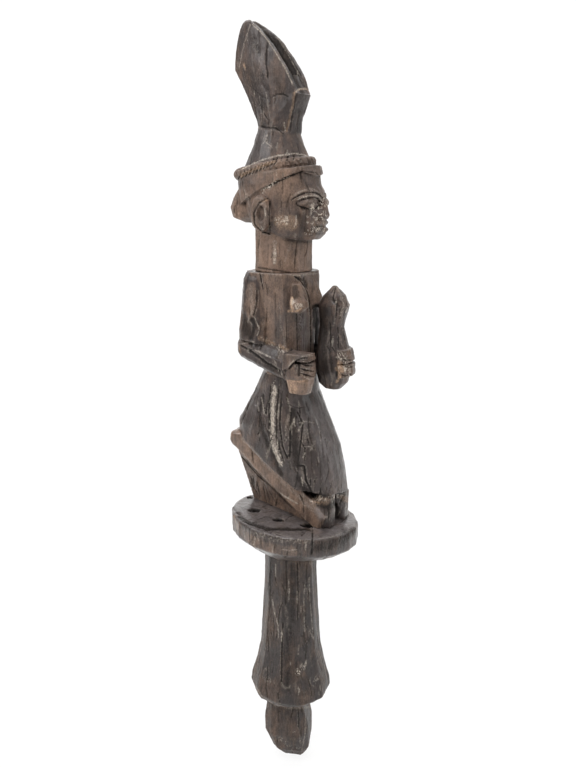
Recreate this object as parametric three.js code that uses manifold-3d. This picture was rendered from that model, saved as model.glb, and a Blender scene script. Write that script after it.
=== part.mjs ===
// Dance wand carved from one block of dark wood: a kneeling figure on a pierced round plate,
// with a faceted handle and a finial below it and a tall channelled crest above it.
// Millimetres, +Z up along the handle, the figure faces -Y and its right side is at -X.
// The wood is one piece: each mesh is a region that the carver bounded with cut lines, and
// neighbouring regions are kept apart by one narrow seam.

import * as THREE from 'three';
import Module from 'manifold-3d';

const wasm = await Module();
wasm.setup();

// Driving dimensions

// Width of the seam that divides two carved regions, and the overrun of every cutting body.
const seam = 0.3;
const overrun = 6;

// Finial: a four-sided knob with a blunt point.
const finial = { height: 57, radius: 20.6, chamfer: 5.2, turn: -24, shiftAngle: -60 };
// Rows: height, radius, chamfer and sideways shift, as shares of the finial's own sizes, and the lean of the ring.
const finialShares = [
  [0.0, 0.11, 0.2, 0.17, 0.0],
  [0.09, 0.52, 0.7, 0.14, 0.06],
  [0.25, 0.9, 1.0, 0.07, 0.12],
  [0.5, 1.07, 1.0, -0.06, 0.16],
  [0.66, 1.03, 1.0, -0.1, 0.08],
  [0.82, 0.9, 0.9, -0.13, 0.0],
  [1.0, 0.86, 0.9, -0.13, 0.0],
];

// Handle: a faceted shaft that fills the hand and flares at its foot.
const handle = { length: 112.5, radius: 17.7, flareRadius: 28.4, facets: 10, turn: 11 };
// Rows: height as a share of the length, flare as a share of the way from the shaft to the rim.
const handleShares = [
  [0.0, 0.72],
  [0.036, 1.0],
  [0.09, 0.93],
  [0.22, 0.57],
  [0.33, 0.33],
  [0.6, 0.13],
  [0.87, 0.0],
  [1.0, 0.0],
];
// The foot of the flare is cut a little out of square: rise per unit of x and of y.
const flareSlopeShares = { x: -0.035, y: 0.06 };

// Plate: a thick round disc whose top slopes and whose underside is bevelled.
const plate = {
  radius: 42.8, bevelRadius: 36.5, underRadius: 25, thickness: 22.3, rimHeight: 12.2, bevelHeight: 5, edge: 1.3, offsetY: -3.3, facets: 22,
};
const plateSlopeShares = { x: -0.089, y: 0.0735 };
// Seven cord holes: radius of the bore, and each hole's place as angle and share of the plate's radius.
const cordHole = { radius: 2.45, sides: 8 };
const cordHolePlaces = [
  { angle: 86, reachShare: 0.89 },
  { angle: 125, reachShare: 0.61 },
  { angle: 177, reachShare: 0.41 },
  { angle: 234, reachShare: 0.49 },
  { angle: 37, reachShare: 0.86 },
  { angle: 4, reachShare: 0.78 },
  { angle: -30, reachShare: 0.78 },
];

// The figure's middle line stands beside the handle's axis at the plate and meets it at the shoulders.
const figure = { footShiftX: 7.5 };

// Lower legs: two slanting bars that rise from the knees to the raised feet.
const leg = { inner: 9.5, outer: 20.5, thickness: 12.5, kneeThickness: 15.8, bevel: 2, kneeY: -31, footY: 39.6, kneeTop: 13.2, riseShare: 0.66 };
// Uncut wood that carries the legs between them.
const support = {
  frontHalfWide: 15, topHalfWide: 13, tailHalfWide: 3.4, backY: 40, tailY: 32.8, footHeight: 4, height: 44, topHeight: 55,
};
// Knees: two blocks under the hem, in front of the bars.
const knee = { inner: 2.6, outer: 18, backY: -22, frontY: -33.4, chamfer: 4.6 };

// Wrapper: the bell-shaped cloth from the waist to the hem.
const wrapper = { height: 99, hemHeight: 21, halfWide: 25, frontY: 36, backY: 38.4, sides: 24, square: 2.7 };
// Rows: height from the plate, half width, reach to the front and reach to the back.
const wrapperShares = [
  [0.1, 0.97, 1.0, 0.94],
  [0.2, 0.97, 0.985, 0.96],
  [0.35, 0.97, 0.94, 0.98],
  [0.48, 0.94, 0.86, 1.0],
  [0.64, 0.88, 0.7, 1.0],
  [0.74, 0.82, 0.58, 0.84],
  [0.86, 0.72, 0.44, 0.65],
  [1.0, 0.64, 0.38, 0.48],
];
const hemSlopeShares = { x: -0.22, y: 0.0 };
// Two carved folds in the wrapper's right side and one in its left.
const fold = { depth: 2.6, halfWide: 2.8 };

// Torso, neck and arms.
const torso = { height: 64.5, halfWide: 20.2, frontY: 13.5, backY: 25.3, chamfer: 8.3 };
// Rows: height, half width, front, back and chamfer as shares of the torso's sizes.
const torsoShares = [
  [0.0, 0.72, 0.86, 0.6, 0.75],
  [0.2, 0.74, 0.9, 0.68, 0.8],
  [0.5, 0.82, 0.97, 0.82, 0.9],
  [0.8, 0.95, 1.03, 0.95, 1.0],
  [1.0, 1.0, 1.0, 1.0, 1.0],
];
const neck = { height: 20, radius: 17.8, footRadius: 18.1, centreY: 5.4, facets: 14, turn: 8 };
const breast = { width: 10, drop: 17, reach: 6, top: 6, rightX: 14.4, leftX: 6.8, leftReach: 4.4, sink: 3.5 };
const upperArm = { inner: 13.5, outer: 20.6, elbowOuter: 23, frontY: 8.5, backY: 25, elbowBackY: 27.5, wristY: -7, chamfer: 4.2 };
const forearm = {
  inner: 12.6, outer: 23, thickness: 11, wristThickness: 18, elbowRise: 17, wristRise: 7.5, chamfer: 2.8, topBevel: 6.4,
};
const fist = { inner: 9.4, outer: 23.4, length: 17.5, height: 15.5, chamfer: 3, topRise: 15.9 };
const fingers = { count: 4, groove: 1.5, depth: 2 };
// Thumb: laid over the top of the fist. Rows: reach from the wrist as a share of the fist's length, and how far
// the thumb's lower edge lies under the fist's top as a share of the fist's height.
const thumb = { reach: 1.3, rise: 1.2, bevel: 0.5 };
const thumbShares = [
  [0.03, 0.62],
  [0.26, 0.5],
  [0.5, 0.22],
  [0.72, 0.1],
  [0.97, 0.06],
];
const grip = { halfWide: 6.2, halfDeep: 7.8, length: 8.5, taperShare: 0.82, chamfer: 2.2 };
// The left arm hangs further forward and reaches to the gourd.
const leftArm = { inner: 9.5, frontY: -11.4, backY: 8.5, elbowBackY: 11, wristY: -19 };

// Double-lobed gourd rattle in the left hand.
const gourd = { height: 65.5, radius: 11.2, x: 9, y: -26.4, sides: 12, square: 2.5, footDrop: 9.5 };
// Rows: height, half width, half depth and shift to the back, as shares of the gourd's sizes.
const gourdShares = [
  [0.0, 0.52, 0.48, 0.0],
  [0.06, 0.84, 0.8, 0.0],
  [0.2, 1.0, 0.98, 0.0],
  [0.34, 0.94, 0.96, 0.03],
  [0.48, 0.76, 0.82, 0.1],
  [0.6, 0.6, 0.68, 0.16],
  [0.7, 0.68, 0.76, 0.1],
  [0.81, 0.82, 0.84, 0.02],
  [0.91, 0.6, 0.58, 0.0],
  [1.0, 0.1, 0.1, 0.0],
];
const leftHand = { wrap: 2.4, foot: 9, height: 17, fromAngle: -142, toAngle: 25 };

// Head.
const head = { height: 46, halfWide: 19.8, frontY: 23.2, backY: 31, sides: 28, square: 2.15, jawSlopeShare: 0.22 };
// Rows: height, half width, front and back as shares of the head's sizes.
const headShares = [
  [0.0, 0.74, 0.81, 0.66],
  [0.07, 0.86, 0.955, 0.72],
  [0.13, 0.91, 0.92, 0.77],
  [0.24, 0.96, 0.93, 0.85],
  [0.36, 1.0, 0.94, 0.92],
  [0.48, 1.0, 0.89, 0.96],
  [0.54, 1.0, 0.965, 0.98],
  [0.6, 1.0, 0.93, 1.0],
  [0.7, 1.0, 0.8, 1.0],
  [0.88, 0.98, 0.74, 1.0],
  [1.0, 0.96, 0.6, 1.0],
];
// The hairline rises to the front and dips again over the forehead.
const hairline = { height: 34, slopeShare: -0.46, frontHeight: 37.4, frontSlopeShare: 0.5 };
const nose = { width: 10.4, bridge: 4.2, height: 14, reach: 4.2, foot: 12.3, faceShare: 0.92 };
const lips = { width: 15, height: 3.8, reach: 1.9, gap: 0.3, foot: 3.9, faceShare: 0.92 };
const eye = { width: 12, height: 5.6, reach: 2.1, x: 8.9, foot: 21.6, faceShare: 0.76 };
const ear = { width: 12.8, height: 21.5, reach: 4.2, bowl: 2.2, y: 8.4, foot: 5, rim: 2.5 };
const bun = { width: 20, height: 27.5, reach: 10.5, foot: 9, rootY: 20 };
// Rows: height, width and how far the bun stands out behind the head.
const bunShares = [
  [0.0, 0.55, 0.1],
  [0.12, 0.92, 0.82],
  [0.34, 1.0, 1.0],
  [0.55, 0.95, 0.78],
  [0.75, 0.85, 0.44],
  [1.0, 0.82, 0.4],
];

// Hair roll, notched band and cone under the crest.
const roll = { halfWide: 20.8, frontY: 19.6, backY: 34.4, square: 2.3, sides: 28, waistShare: 0.93 };
const band = { halfWide: 20.8, halfDeep: 26.8, centreY: 11.6, thickness: 5.6, height: 44.6, slopeShare: -0.16, sides: 32 };
const notch = { from: 95, to: 208, step: 10.5, width: 1.6, depth: 1.9, lean: 24 };
const cone = { footHalfWide: 18.6, footHalfDeep: 23.6, topRadius: 12.5, footY: 8.6, topY: 8.6, height: 64, sides: 16 };

// Crest: a tall blade, channelled along its front edge.
const crest = { height: 63, halfWide: 9.4, frontY: 8.6, backY: 38.6, footSlopeShare: 0.16, channelDepth: 5.2, channelShare: 0.66, nickShare: 0.34 };
// Rows: height, half widths of the front, the middle and the back, and the front and back edges as
// shares of the crest's greatest reach to the front and to the back.
const crestShares = [
  [-0.08, 0.6, 1.3, 0.86, 0.3, 0.55],
  [0.0, 0.62, 1.28, 0.84, 0.34, 0.55],
  [0.08, 0.68, 1.16, 0.8, 0.52, 0.575],
  [0.31, 0.9, 1.04, 0.66, 1.0, 0.75],
  [0.48, 1.06, 1.06, 0.6, 0.48, 0.91],
  [0.57, 1.1, 1.05, 0.54, 0.04, 1.0],
  [0.71, 1.08, 0.94, 0.46, -0.72, 0.985],
  [0.81, 1.02, 0.84, 0.42, -1.26, 0.955],
  [0.92, 0.86, 0.7, 0.36, -2.2, 0.9],
  [0.975, 0.6, 0.54, 0.3, -2.8, 0.86],
  [1.0, 0.3, 0.3, 0.2, -3.1, 0.81],
];
const crestPanel = { halfWide: 6.9, reach: 1.6, topShare: 0.31, footShare: -0.07 };

// Heights of the levels, counted up from the tip of the finial.
const handleFoot = finial.height;
const plateFoot = handleFoot + handle.length;
const plateTop = plateFoot + plate.thickness;
const waist = plateTop + wrapper.height;
const shoulder = waist + torso.height;
const jaw = shoulder + neck.height;
const crestFoot = jaw + cone.height;

// Geometry helpers

const degree = Math.PI / 180;

/** Closed body from rings of equal length, stacked from the first to the last. */
function loft(rings) {
  const count = rings[0].length;
  const vertices = [];
  const triangles = [];
  for (const ring of rings) vertices.push(...ring);
  for (let level = 0; level + 1 < rings.length; level += 1) {
    for (let i = 0; i < count; i += 1) {
      const j = (i + 1) % count;
      const a = level * count + i;
      const b = level * count + j;
      triangles.push([a, b, b + count], [a, b + count, a + count]);
    }
  }
  const middle = (ring) => ring.reduce((sum, p) => sum.map((v, k) => v + p[k] / count), [0, 0, 0]);
  const last = (rings.length - 1) * count;
  const low = vertices.push(middle(rings[0])) - 1;
  const high = vertices.push(middle(rings[rings.length - 1])) - 1;
  for (let i = 0; i < count; i += 1) {
    const j = (i + 1) % count;
    triangles.push([low, j, i], [high, last + i, last + j]);
  }
  return solid(vertices, triangles);
}

/** Manifold body of an indexed triangle list, turned so that its faces point outwards. */
function solid(vertices, triangles) {
  let volume = 0;
  for (const [a, b, c] of triangles) {
    const [p, q, r] = [vertices[a], vertices[b], vertices[c]];
    volume += p[0] * (q[1] * r[2] - q[2] * r[1]) - p[1] * (q[0] * r[2] - q[2] * r[0])
      + p[2] * (q[0] * r[1] - q[1] * r[0]);
  }
  const faces = volume > 0 ? triangles : triangles.map(([a, b, c]) => [a, c, b]);
  return new wasm.Manifold(new wasm.Mesh({
    numProp: 3,
    vertProperties: new Float32Array(vertices.flat()),
    triVerts: new Uint32Array(faces.flat()),
  }));
}

/** Ring of a superellipse: square 2 is an ellipse and larger values fill the corners. */
function roundRing({ x = 0, y = 0, z, halfWide, halfDeep, square = 2, sides, turn = 0 }) {
  return Array.from({ length: sides }, (_, i) => {
    const angle = (360 * i / sides + turn) * degree;
    const [c, s] = [Math.cos(angle), Math.sin(angle)];
    const reach = (Math.abs(c) ** square + Math.abs(s) ** square) ** (-1 / square);
    const px = x + halfWide * reach * c;
    const py = y + halfDeep * reach * s;
    return [px, py, typeof z === 'function' ? z(px, py) : z];
  });
}

/** Ring of a superellipse whose front and back halves reach differently from the middle line. */
function bodyRing({ x = 0, z, halfWide, front, back, square, sides }) {
  return roundRing({ x, y: (back - front) / 2, z, halfWide, halfDeep: (back + front) / 2, square, sides, turn: 180 / sides });
}

/** Rectangle with chamfered corners between two x and two y values. */
function blockRing({ x0, x1, y0, y1, chamfer, z }) {
  const c = chamfer;
  const corners = [[x1, y0 + c], [x1, y1 - c], [x1 - c, y1], [x0 + c, y1],
    [x0, y1 - c], [x0, y0 + c], [x0 + c, y0], [x1 - c, y0]];
  return corners.map(([x, y]) => [x, y, typeof z === 'function' ? z(x, y) : z]);
}

const turned = (ring, angle) => ring.map(([x, y, z]) => {
  const [c, s] = [Math.cos(angle * degree), Math.sin(angle * degree)];
  return [x * c - y * s, x * s + y * c, z];
});

/** Everything between two surfaces z = low(x, y) and z = high(x, y), wider than the wand. */
function between(low, high) {
  const half = plate.radius + overrun;
  const corners = [[half, -half], [half, half], [-half, half], [-half, -half]];
  const at = (height) => corners.map(([x, y]) => [x, y, typeof height === 'function' ? height(x, y) : height]);
  return loft([at(low), at(high)]);
}

/** Body of an outline in the y-z plane, from x0 to x1, with its side edges bevelled. */
function sideSlab(outline, x0, x1, bevel) {
  const centre = outline.reduce((sum, p) => [sum[0] + p[0] / outline.length, sum[1] + p[1] / outline.length], [0, 0]);
  const ring = (x, inset) => outline.map(([y, z]) => {
    const [dy, dz] = [y - centre[0], z - centre[1]];
    const share = inset / Math.hypot(dy, dz);
    return [x, y - dy * share, z - dz * share];
  });
  return loft([ring(x0, bevel), ring(x0 + bevel, 0), ring(x1 - bevel, 0), ring(x1, bevel)]);
}

/** The same body on the other side of the x = 0 plane. */
function mirrored(body) {
  const mesh = body.getMesh();
  const vertices = Array.from({ length: mesh.vertProperties.length / 3 }, (_, i) => {
    const [x, y, z] = mesh.vertProperties.slice(3 * i, 3 * i + 3);
    return [-x, y, z];
  });
  const triangles = Array.from({ length: mesh.triVerts.length / 3 }, (_, i) => [...mesh.triVerts.slice(3 * i, 3 * i + 3)]);
  return solid(vertices, triangles);
}

const lerp = (a, b, share) => a + (b - a) * share;

// Surfaces that several pieces share

const plateSurface = (x, y) => plateTop + plateSlopeShares.x * x + plateSlopeShares.y * (y - plate.offsetY);
const figureX = (z) => figure.footShiftX * Math.max(0, (shoulder - z) / (shoulder - plateTop));
const legSurface = (x, y) => plateTop + leg.kneeTop + leg.riseShare * (y - leg.kneeY);
const hemSurface = (x, y) => plateTop + wrapper.hemHeight + hemSlopeShares.x * x + hemSlopeShares.y * y;
const jawPlane = (x, y) => jaw + head.jawSlopeShare * (y + head.frontY / 2);
const hairSurface = (x, y) => jaw + hairline.height + hairline.slopeShare * y;
const browSurface = (x, y) => jaw + hairline.frontHeight + hairline.frontSlopeShare * (y + roll.frontY);
const bandTop = (x, y) => jaw + band.height + band.slopeShare * (y - band.centreY);
const bandFoot = (x, y) => bandTop(x, y) - band.thickness;
const crestSurface = (x, y) => crestFoot + crest.footSlopeShare * (y - cone.topY);
const elbowHeight = waist + forearm.elbowRise;
const forearmSlope = (forearm.elbowRise - forearm.wristRise) / (upperArm.elbowBackY - upperArm.wristY);
const forearmAxis = (y) => elbowHeight + forearmSlope * (y - upperArm.elbowBackY);
const forearmThickness = (y) => lerp(
  forearm.thickness, forearm.wristThickness, (upperArm.elbowBackY - y) / (upperArm.elbowBackY - upperArm.wristY),
);
const forearmTop = (x, y) => forearmAxis(y) + forearmThickness(y) / 2;
const raised = (surface, gap) => (x, y) => surface(x, y) + gap;

// Finial and handle

function makeFinial() {
  const rings = finialShares.map(([height, radius, chamfer, shift, lean]) => {
    const half = finial.radius * radius * Math.SQRT1_2;
    const z = (x) => finial.height * height + lean * x * Math.sign(height);
    const flat = blockRing({ x0: -half, x1: half, y0: -half, y1: half, chamfer: finial.chamfer * chamfer * radius, z });
    const side = finial.radius * shift;
    return turned(flat, finial.turn + 45).map(([x, y, level]) => [
      x + side * Math.cos(finial.shiftAngle * degree), y + side * Math.sin(finial.shiftAngle * degree), level,
    ]);
  });
  return loft(rings);
}

function makeHandle() {
  const rings = handleShares.map(([height, flare], level) => {
    const radius = lerp(handle.radius, handle.flareRadius, flare);
    const base = handleFoot + handle.length * height;
    const slope = level === 0 ? 0 : flare * flare;
    const z = (x, y) => base + slope * (flareSlopeShares.x * x + flareSlopeShares.y * y);
    return roundRing({ z, halfWide: radius, halfDeep: radius, sides: handle.facets, turn: handle.turn });
  });
  return loft(rings);
}

// Plate with its cord holes

function makePlate() {
  const ring = (radius, z) => roundRing({
    y: plate.offsetY, z, halfWide: radius, halfDeep: radius, sides: plate.facets, turn: 4,
  });
  const disc = loft([
    ring(plate.underRadius, plateFoot),
    ring(plate.bevelRadius, raised(plateSurface, plate.bevelHeight - plate.thickness)),
    ring(plate.radius, raised(plateSurface, -plate.rimHeight)),
    ring(plate.radius, raised(plateSurface, -plate.edge)),
    ring(plate.radius - plate.edge, plateSurface),
  ]);
  return cordHolePlaces.reduce((body, place) => {
    const reach = plate.radius * place.reachShare;
    const hole = (z) => roundRing({
      x: reach * Math.cos(place.angle * degree),
      y: plate.offsetY + reach * Math.sin(place.angle * degree),
      z,
      halfWide: cordHole.radius,
      halfDeep: cordHole.radius,
      sides: cordHole.sides,
    });
    return body.subtract(loft([hole(plateFoot - overrun), hole(plateTop + plate.thickness)]));
  }, disc);
}

// Legs, knees and the wood that carries them

function legOutline() {
  const along = Math.hypot(1, leg.riseShare);
  const dropZ = leg.thickness * along;
  const kneeDropZ = leg.kneeThickness * along;
  const top = (y) => legSurface(0, y);
  const end = leg.thickness * 0.5;
  return [
    [leg.kneeY + end * 0.5, top(leg.kneeY) - kneeDropZ + end * 0.4],
    [leg.footY - end * 0.4, top(leg.footY) - dropZ - end * 0.1],
    [leg.footY + end * 0.35, top(leg.footY) - dropZ + end * 0.5],
    [leg.footY + end * 0.1, top(leg.footY) - end * 0.75],
    [leg.footY - end, top(leg.footY - end)],
    [leg.kneeY + end, top(leg.kneeY + end)],
    [leg.kneeY, top(leg.kneeY) - end],
  ];
}

/** Lower leg: side is -1 for the figure's right and 1 for its left. */
function makeLeg(side, grow) {
  const edges = [side * (leg.inner - grow), side * (leg.outer + grow)].map((x) => figure.footShiftX + x);
  const bar = sideSlab(legOutline(), Math.min(...edges), Math.max(...edges), leg.bevel);
  return bar.intersect(between(raised(plateSurface, seam - grow), shoulder));
}

function makeSupport() {
  const x = figure.footShiftX;
  const ring = (frontHalf, backHalf, backY, z) => [
    [x + frontHalf, knee.backY + seam, z], [x + lerp(frontHalf, backHalf, 0.5), lerp(knee.backY, backY, 0.5), z],
    [x + backHalf, backY, z], [x - backHalf, backY, z],
    [x - lerp(frontHalf, backHalf, 0.5), lerp(knee.backY, backY, 0.5), z], [x - frontHalf, knee.backY + seam, z],
  ];
  const block = loft([
    ring(support.frontHalfWide, support.tailHalfWide, support.tailY, plateFoot),
    ring(support.frontHalfWide, support.tailHalfWide, support.tailY, plateTop + support.footHeight),
    ring(support.topHalfWide, support.topHalfWide, support.backY, plateTop + support.height),
    ring(support.topHalfWide, support.topHalfWide, support.backY, waist),
  ]);
  return block
    .intersect(between(raised(plateSurface, seam), raised(legSurface, -seam)))
    .intersect(between(plateFoot, plateTop + support.topHeight));
}

function makeKnee(side) {
  const edges = [knee.inner, knee.outer].map((x) => figure.footShiftX + side * x);
  const ring = (z) => blockRing({
    x0: Math.min(...edges), x1: Math.max(...edges), y0: knee.frontY, y1: knee.backY, chamfer: knee.chamfer, z,
  });
  const block = loft([ring(plateFoot), ring(waist)]);
  return block.intersect(between(raised(plateSurface, seam), raised(hemSurface, -seam)));
}

// Wrapper

function wrapperBody(grow) {
  return loft(wrapperShares.map(([height, halfWide, front, back]) => {
    const z = plateTop + wrapper.height * height;
    return bodyRing({
      x: figureX(z),
      z,
      halfWide: wrapper.halfWide * halfWide + grow,
      front: wrapper.frontY * front + grow,
      back: wrapper.backY * back + grow,
      square: wrapper.square,
      sides: wrapper.sides,
    });
  }));
}

/** A long carved fold: a four-sided sliver laid against the wrapper's side. */
function foldCut(points) {
  return loft(points.map(([x, y, z, size]) => [
    [x + fold.depth * size, y, z],
    [x, y + fold.halfWide * size, z],
    [x - fold.depth * size, y, z],
    [x, y - fold.halfWide * size, z],
  ]));
}

function makeWrapper() {
  const floor = between((x, y) => Math.max(hemSurface(x, y), 0), shoulder);
  const overLegs = between(legSurface, shoulder);
  const height = (share) => plateTop + wrapper.height * share;
  const side = -wrapper.halfWide;
  const deepFold = foldCut([
    [side * 0.76, -wrapper.frontY * 0.34, height(0.8), 0.3],
    [side * 0.93, -wrapper.frontY * 0.42, height(0.62), 1.0],
    [side * 0.98, -wrapper.frontY * 0.5, height(0.44), 1.25],
    [side * 0.98, -wrapper.frontY * 0.56, height(0.3), 0.4],
  ]);
  const backFold = foldCut([
    [side * 0.84, wrapper.backY * 0.1, height(0.78), 0.3],
    [side * 1.02, wrapper.backY * 0.24, height(0.62), 1.0],
    [side * 1.04, wrapper.backY * 0.34, height(0.5), 0.4],
  ]);
  return wrapperBody(0)
    .intersect(floor)
    .intersect(overLegs)
    .intersect(between(plateTop, waist - seam))
    .subtract(deepFold)
    .subtract(backFold);
}

// Torso, neck, breasts and arms

function torsoBody(grow) {
  return loft(torsoShares.map(([height, halfWide, front, back, chamfer]) => blockRing({
    x0: -torso.halfWide * halfWide - grow,
    x1: torso.halfWide * halfWide + grow,
    y0: -torso.frontY * front - grow,
    y1: torso.backY * back + grow,
    chamfer: torso.chamfer * chamfer,
    z: waist + torso.height * height,
  })));
}

function makeNeck() {
  const ring = (radius, z) => roundRing({
    y: neck.centreY, z, halfWide: radius, halfDeep: radius, sides: neck.facets, turn: neck.turn,
  });
  const column = loft([
    ring(neck.footRadius, shoulder + seam),
    ring(neck.radius, shoulder + neck.height / 3),
    ring(neck.radius, jaw + neck.height),
  ]);
  const cut = between(raised(jawPlane, -seam), jaw + crest.height).intersect(between(jaw - seam, jaw + crest.height));
  return column.subtract(cut);
}

function makeBreast(side, x, reach) {
  const top = shoulder - breast.top;
  const half = breast.width / 2;
  const front = -torso.frontY;
  const ring = (z, out, wide) => blockRing({
    x0: side * x - half * wide - (side < 0 ? out * 0.35 : 0),
    x1: side * x + half * wide,
    y0: front - out,
    y1: front + breast.sink,
    chamfer: half * wide * 0.45,
    z,
  });
  return loft([
    ring(top - breast.drop, reach * 0.5, 0.7),
    ring(top - breast.drop * 0.8, reach, 0.95),
    ring(top - breast.drop * 0.62, reach * 0.9, 1),
    ring(top - breast.drop * 0.3, reach * 0.45, 0.8),
    ring(top, 0.4, 0.5),
  ]);
}

/** Upper arm on the -X side, as long as the figure's right one. */
function upperArmBody({ inner, frontY, backY, elbowBackY }, grow) {
  const ring = (outer, back, z) => blockRing({
    x0: -outer - grow,
    x1: -inner + grow,
    y0: frontY - grow,
    y1: back + grow,
    chamfer: upperArm.chamfer,
    z,
  });
  const elbow = elbowHeight - forearm.thickness / 2;
  const arm = loft([
    ring(upperArm.elbowOuter, elbowBackY, elbow - overrun),
    ring(upperArm.elbowOuter, elbowBackY, elbow),
    ring(lerp(upperArm.outer, upperArm.elbowOuter, 0.8), elbowBackY, lerp(elbow, shoulder, 0.3)),
    ring(upperArm.outer, backY, shoulder - upperArm.chamfer),
    ring(upperArm.outer - upperArm.chamfer / 3, backY - upperArm.chamfer / 2, shoulder),
  ]);
  return arm.intersect(between(raised(forearmTop, seam - grow), shoulder + overrun));
}

/** Forearm on the -X side, a bar from the elbow at the back to the wrist at the front. */
function forearmBody({ frontY, elbowBackY, wristY }, grow) {
  const c = forearm.chamfer;
  const ring = (y, slim, bevel = c) => {
    const [z, half] = [forearmAxis(y), forearmThickness(y) / 2 + grow];
    const [x0, x1] = [-forearm.outer - grow + slim, -forearm.inner + grow];
    return [[x1, y, z - half + c], [x1, y, z + half - c], [x1 - c, y, z + half], [x0 + bevel, y, z + half],
      [x0, y, z + half - bevel], [x0, y, z - half + c], [x0 + c, y, z - half], [x1 - c, y, z - half]];
  };
  const elbowY = elbowBackY + grow;
  return loft([
    ring(wristY - grow, c / 2, forearm.topBevel),
    ring(frontY - c, 0, lerp(forearm.topBevel, c, 0.4)),
    ring(elbowY - c, 0),
    ring(elbowY, c),
  ]);
}

function makeFist() {
  const top = waist + fist.topRise;
  const foot = top - fist.height;
  const y1 = upperArm.wristY - seam;
  const y0 = y1 - fist.length;
  const ring = (z, inset) => blockRing({
    x0: -fist.outer + inset, x1: -fist.inner - inset, y0: y0 + inset, y1, chamfer: fist.chamfer, z,
  });
  const bevel = fist.chamfer / 2;
  const block = loft([ring(foot, bevel), ring(foot + bevel, 0), ring(top - bevel, 0), ring(top, bevel)]);
  const pitch = fist.height / fingers.count;
  let carved = block;
  for (let i = 1; i < fingers.count; i += 1) {
    const z = foot + pitch * i;
    const inner = blockRing({
      x0: -fist.outer + fingers.depth,
      x1: -fist.inner + overrun,
      y0: y0 + fingers.depth,
      y1: y0 + fist.length * 0.55 + overrun,
      chamfer: fist.chamfer / 2,
      z,
    });
    const outer = (level) => blockRing({
      x0: -fist.outer - overrun, x1: overrun, y0: y0 - overrun, y1: y0 + fist.length * 0.55, chamfer: fist.chamfer / 2, z: level,
    });
    const slot = loft([outer(z - fingers.groove / 2), outer(z + fingers.groove / 2)]);
    const core = loft([
      inner.map(([x, y]) => [x, y, z - fingers.groove]),
      inner.map(([x, y]) => [x, y, z + fingers.groove]),
    ]);
    carved = carved.subtract(slot.subtract(core));
  }
  return carved.add(makeThumb());
}

function makeThumb() {
  const top = waist + fist.topRise;
  const wrist = upperArm.wristY - seam;
  const lower = thumbShares.map(([reach, drop]) => [wrist - fist.length * reach, top - fist.height * drop]);
  const upper = [lower[lower.length - 1][0], lower[0][0]].map((y) => [y, top + thumb.rise]);
  return sideSlab([...upper, ...lower].reverse(), -fist.outer - thumb.reach, -fist.inner - fist.chamfer, thumb.bevel);
}

/** End of the handle that the right hand holds, just under the fist. */
function makeGrip() {
  const top = waist + fist.topRise - fist.height - seam;
  const x = -(fist.inner + fist.outer) / 2;
  const y = upperArm.wristY - seam - fist.length / 2;
  const ring = (z, size) => blockRing({
    x0: x - grip.halfWide * size,
    x1: x + grip.halfWide * size,
    y0: y - grip.halfDeep * size,
    y1: y + grip.halfDeep * size,
    chamfer: grip.chamfer,
    z,
  });
  return loft([ring(top - grip.length, grip.taperShare), ring(top, 1)]);
}

// Gourd rattle and the hand round it

function gourdBody(grow) {
  const foot = waist - gourd.footDrop;
  return loft(gourdShares.map(([height, halfWide, halfDeep, shift]) => roundRing({
    x: gourd.x,
    y: gourd.y + gourd.radius * shift,
    z: foot + gourd.height * height + grow * Math.sign(height - 0.5),
    halfWide: gourd.radius * halfWide + grow,
    halfDeep: gourd.radius * halfDeep + grow,
    square: gourd.square,
    sides: gourd.sides,
  })));
}

function makeLeftHand() {
  const foot = waist - gourd.footDrop + leftHand.foot;
  const top = foot + leftHand.height;
  const reach = gourd.radius * 3;
  const steps = 4;
  const sector = (z) => {
    const arc = Array.from({ length: steps + 1 }, (_, i) => {
      const angle = lerp(leftHand.fromAngle, leftHand.toAngle, i / steps) * degree;
      return [gourd.x + reach * Math.cos(angle), gourd.y + reach * Math.sin(angle), z];
    });
    return [[gourd.x, gourd.y, z], ...arc];
  };
  let hand = gourdBody(leftHand.wrap).intersect(loft([sector(foot), sector(top)]));
  const pitch = leftHand.height / fingers.count;
  const cutShell = gourdBody(leftHand.wrap + overrun).subtract(gourdBody(leftHand.wrap - fingers.depth));
  for (let i = 1; i < fingers.count; i += 1) {
    const z = foot + pitch * i;
    hand = hand.subtract(cutShell.intersect(between(z - fingers.groove / 2, z + fingers.groove / 2)));
  }
  return hand;
}

// Head, ears and bun

function headBody(grow) {
  return loft(headShares.map(([height, halfWide, front, back]) => bodyRing({
    z: jaw + head.height * height,
    halfWide: head.halfWide * halfWide + grow,
    front: head.frontY * front + grow,
    back: head.backY * back + grow,
    square: head.square,
    sides: head.sides,
  })));
}

/** A raised almond on the face: rings shrink towards the front. */
function almond({ x, z, width, height, y, reach, sides = 12 }) {
  const ring = (out, size) => Array.from({ length: sides }, (_, i) => {
    const angle = 360 * i / sides * degree;
    return [x + width / 2 * size * Math.cos(angle), y - out, z + height / 2 * size * Math.sin(angle)];
  });
  return loft([ring(-head.frontY / 2, 1), ring(reach * 0.45, 1), ring(reach * 0.85, 0.72), ring(reach, 0.3)]);
}

function makeNose() {
  const foot = jaw + nose.foot;
  const face = -head.frontY * nose.faceShare;
  const row = (z, half, out) => [
    [half, face + nose.reach, z], [-half, face + nose.reach, z], [-half, face - out * 0.35, z],
    [-half * 0.45, face - out, z], [half * 0.45, face - out, z], [half, face - out * 0.35, z],
  ];
  return loft([
    row(foot, nose.width / 2 * 0.8, nose.reach * 0.8),
    row(foot + nose.height * 0.16, nose.width / 2, nose.reach),
    row(foot + nose.height * 0.42, nose.width / 2 * 0.66, nose.reach * 0.82),
    row(foot + nose.height, nose.bridge / 2, nose.reach * 0.3),
  ]);
}

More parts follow.
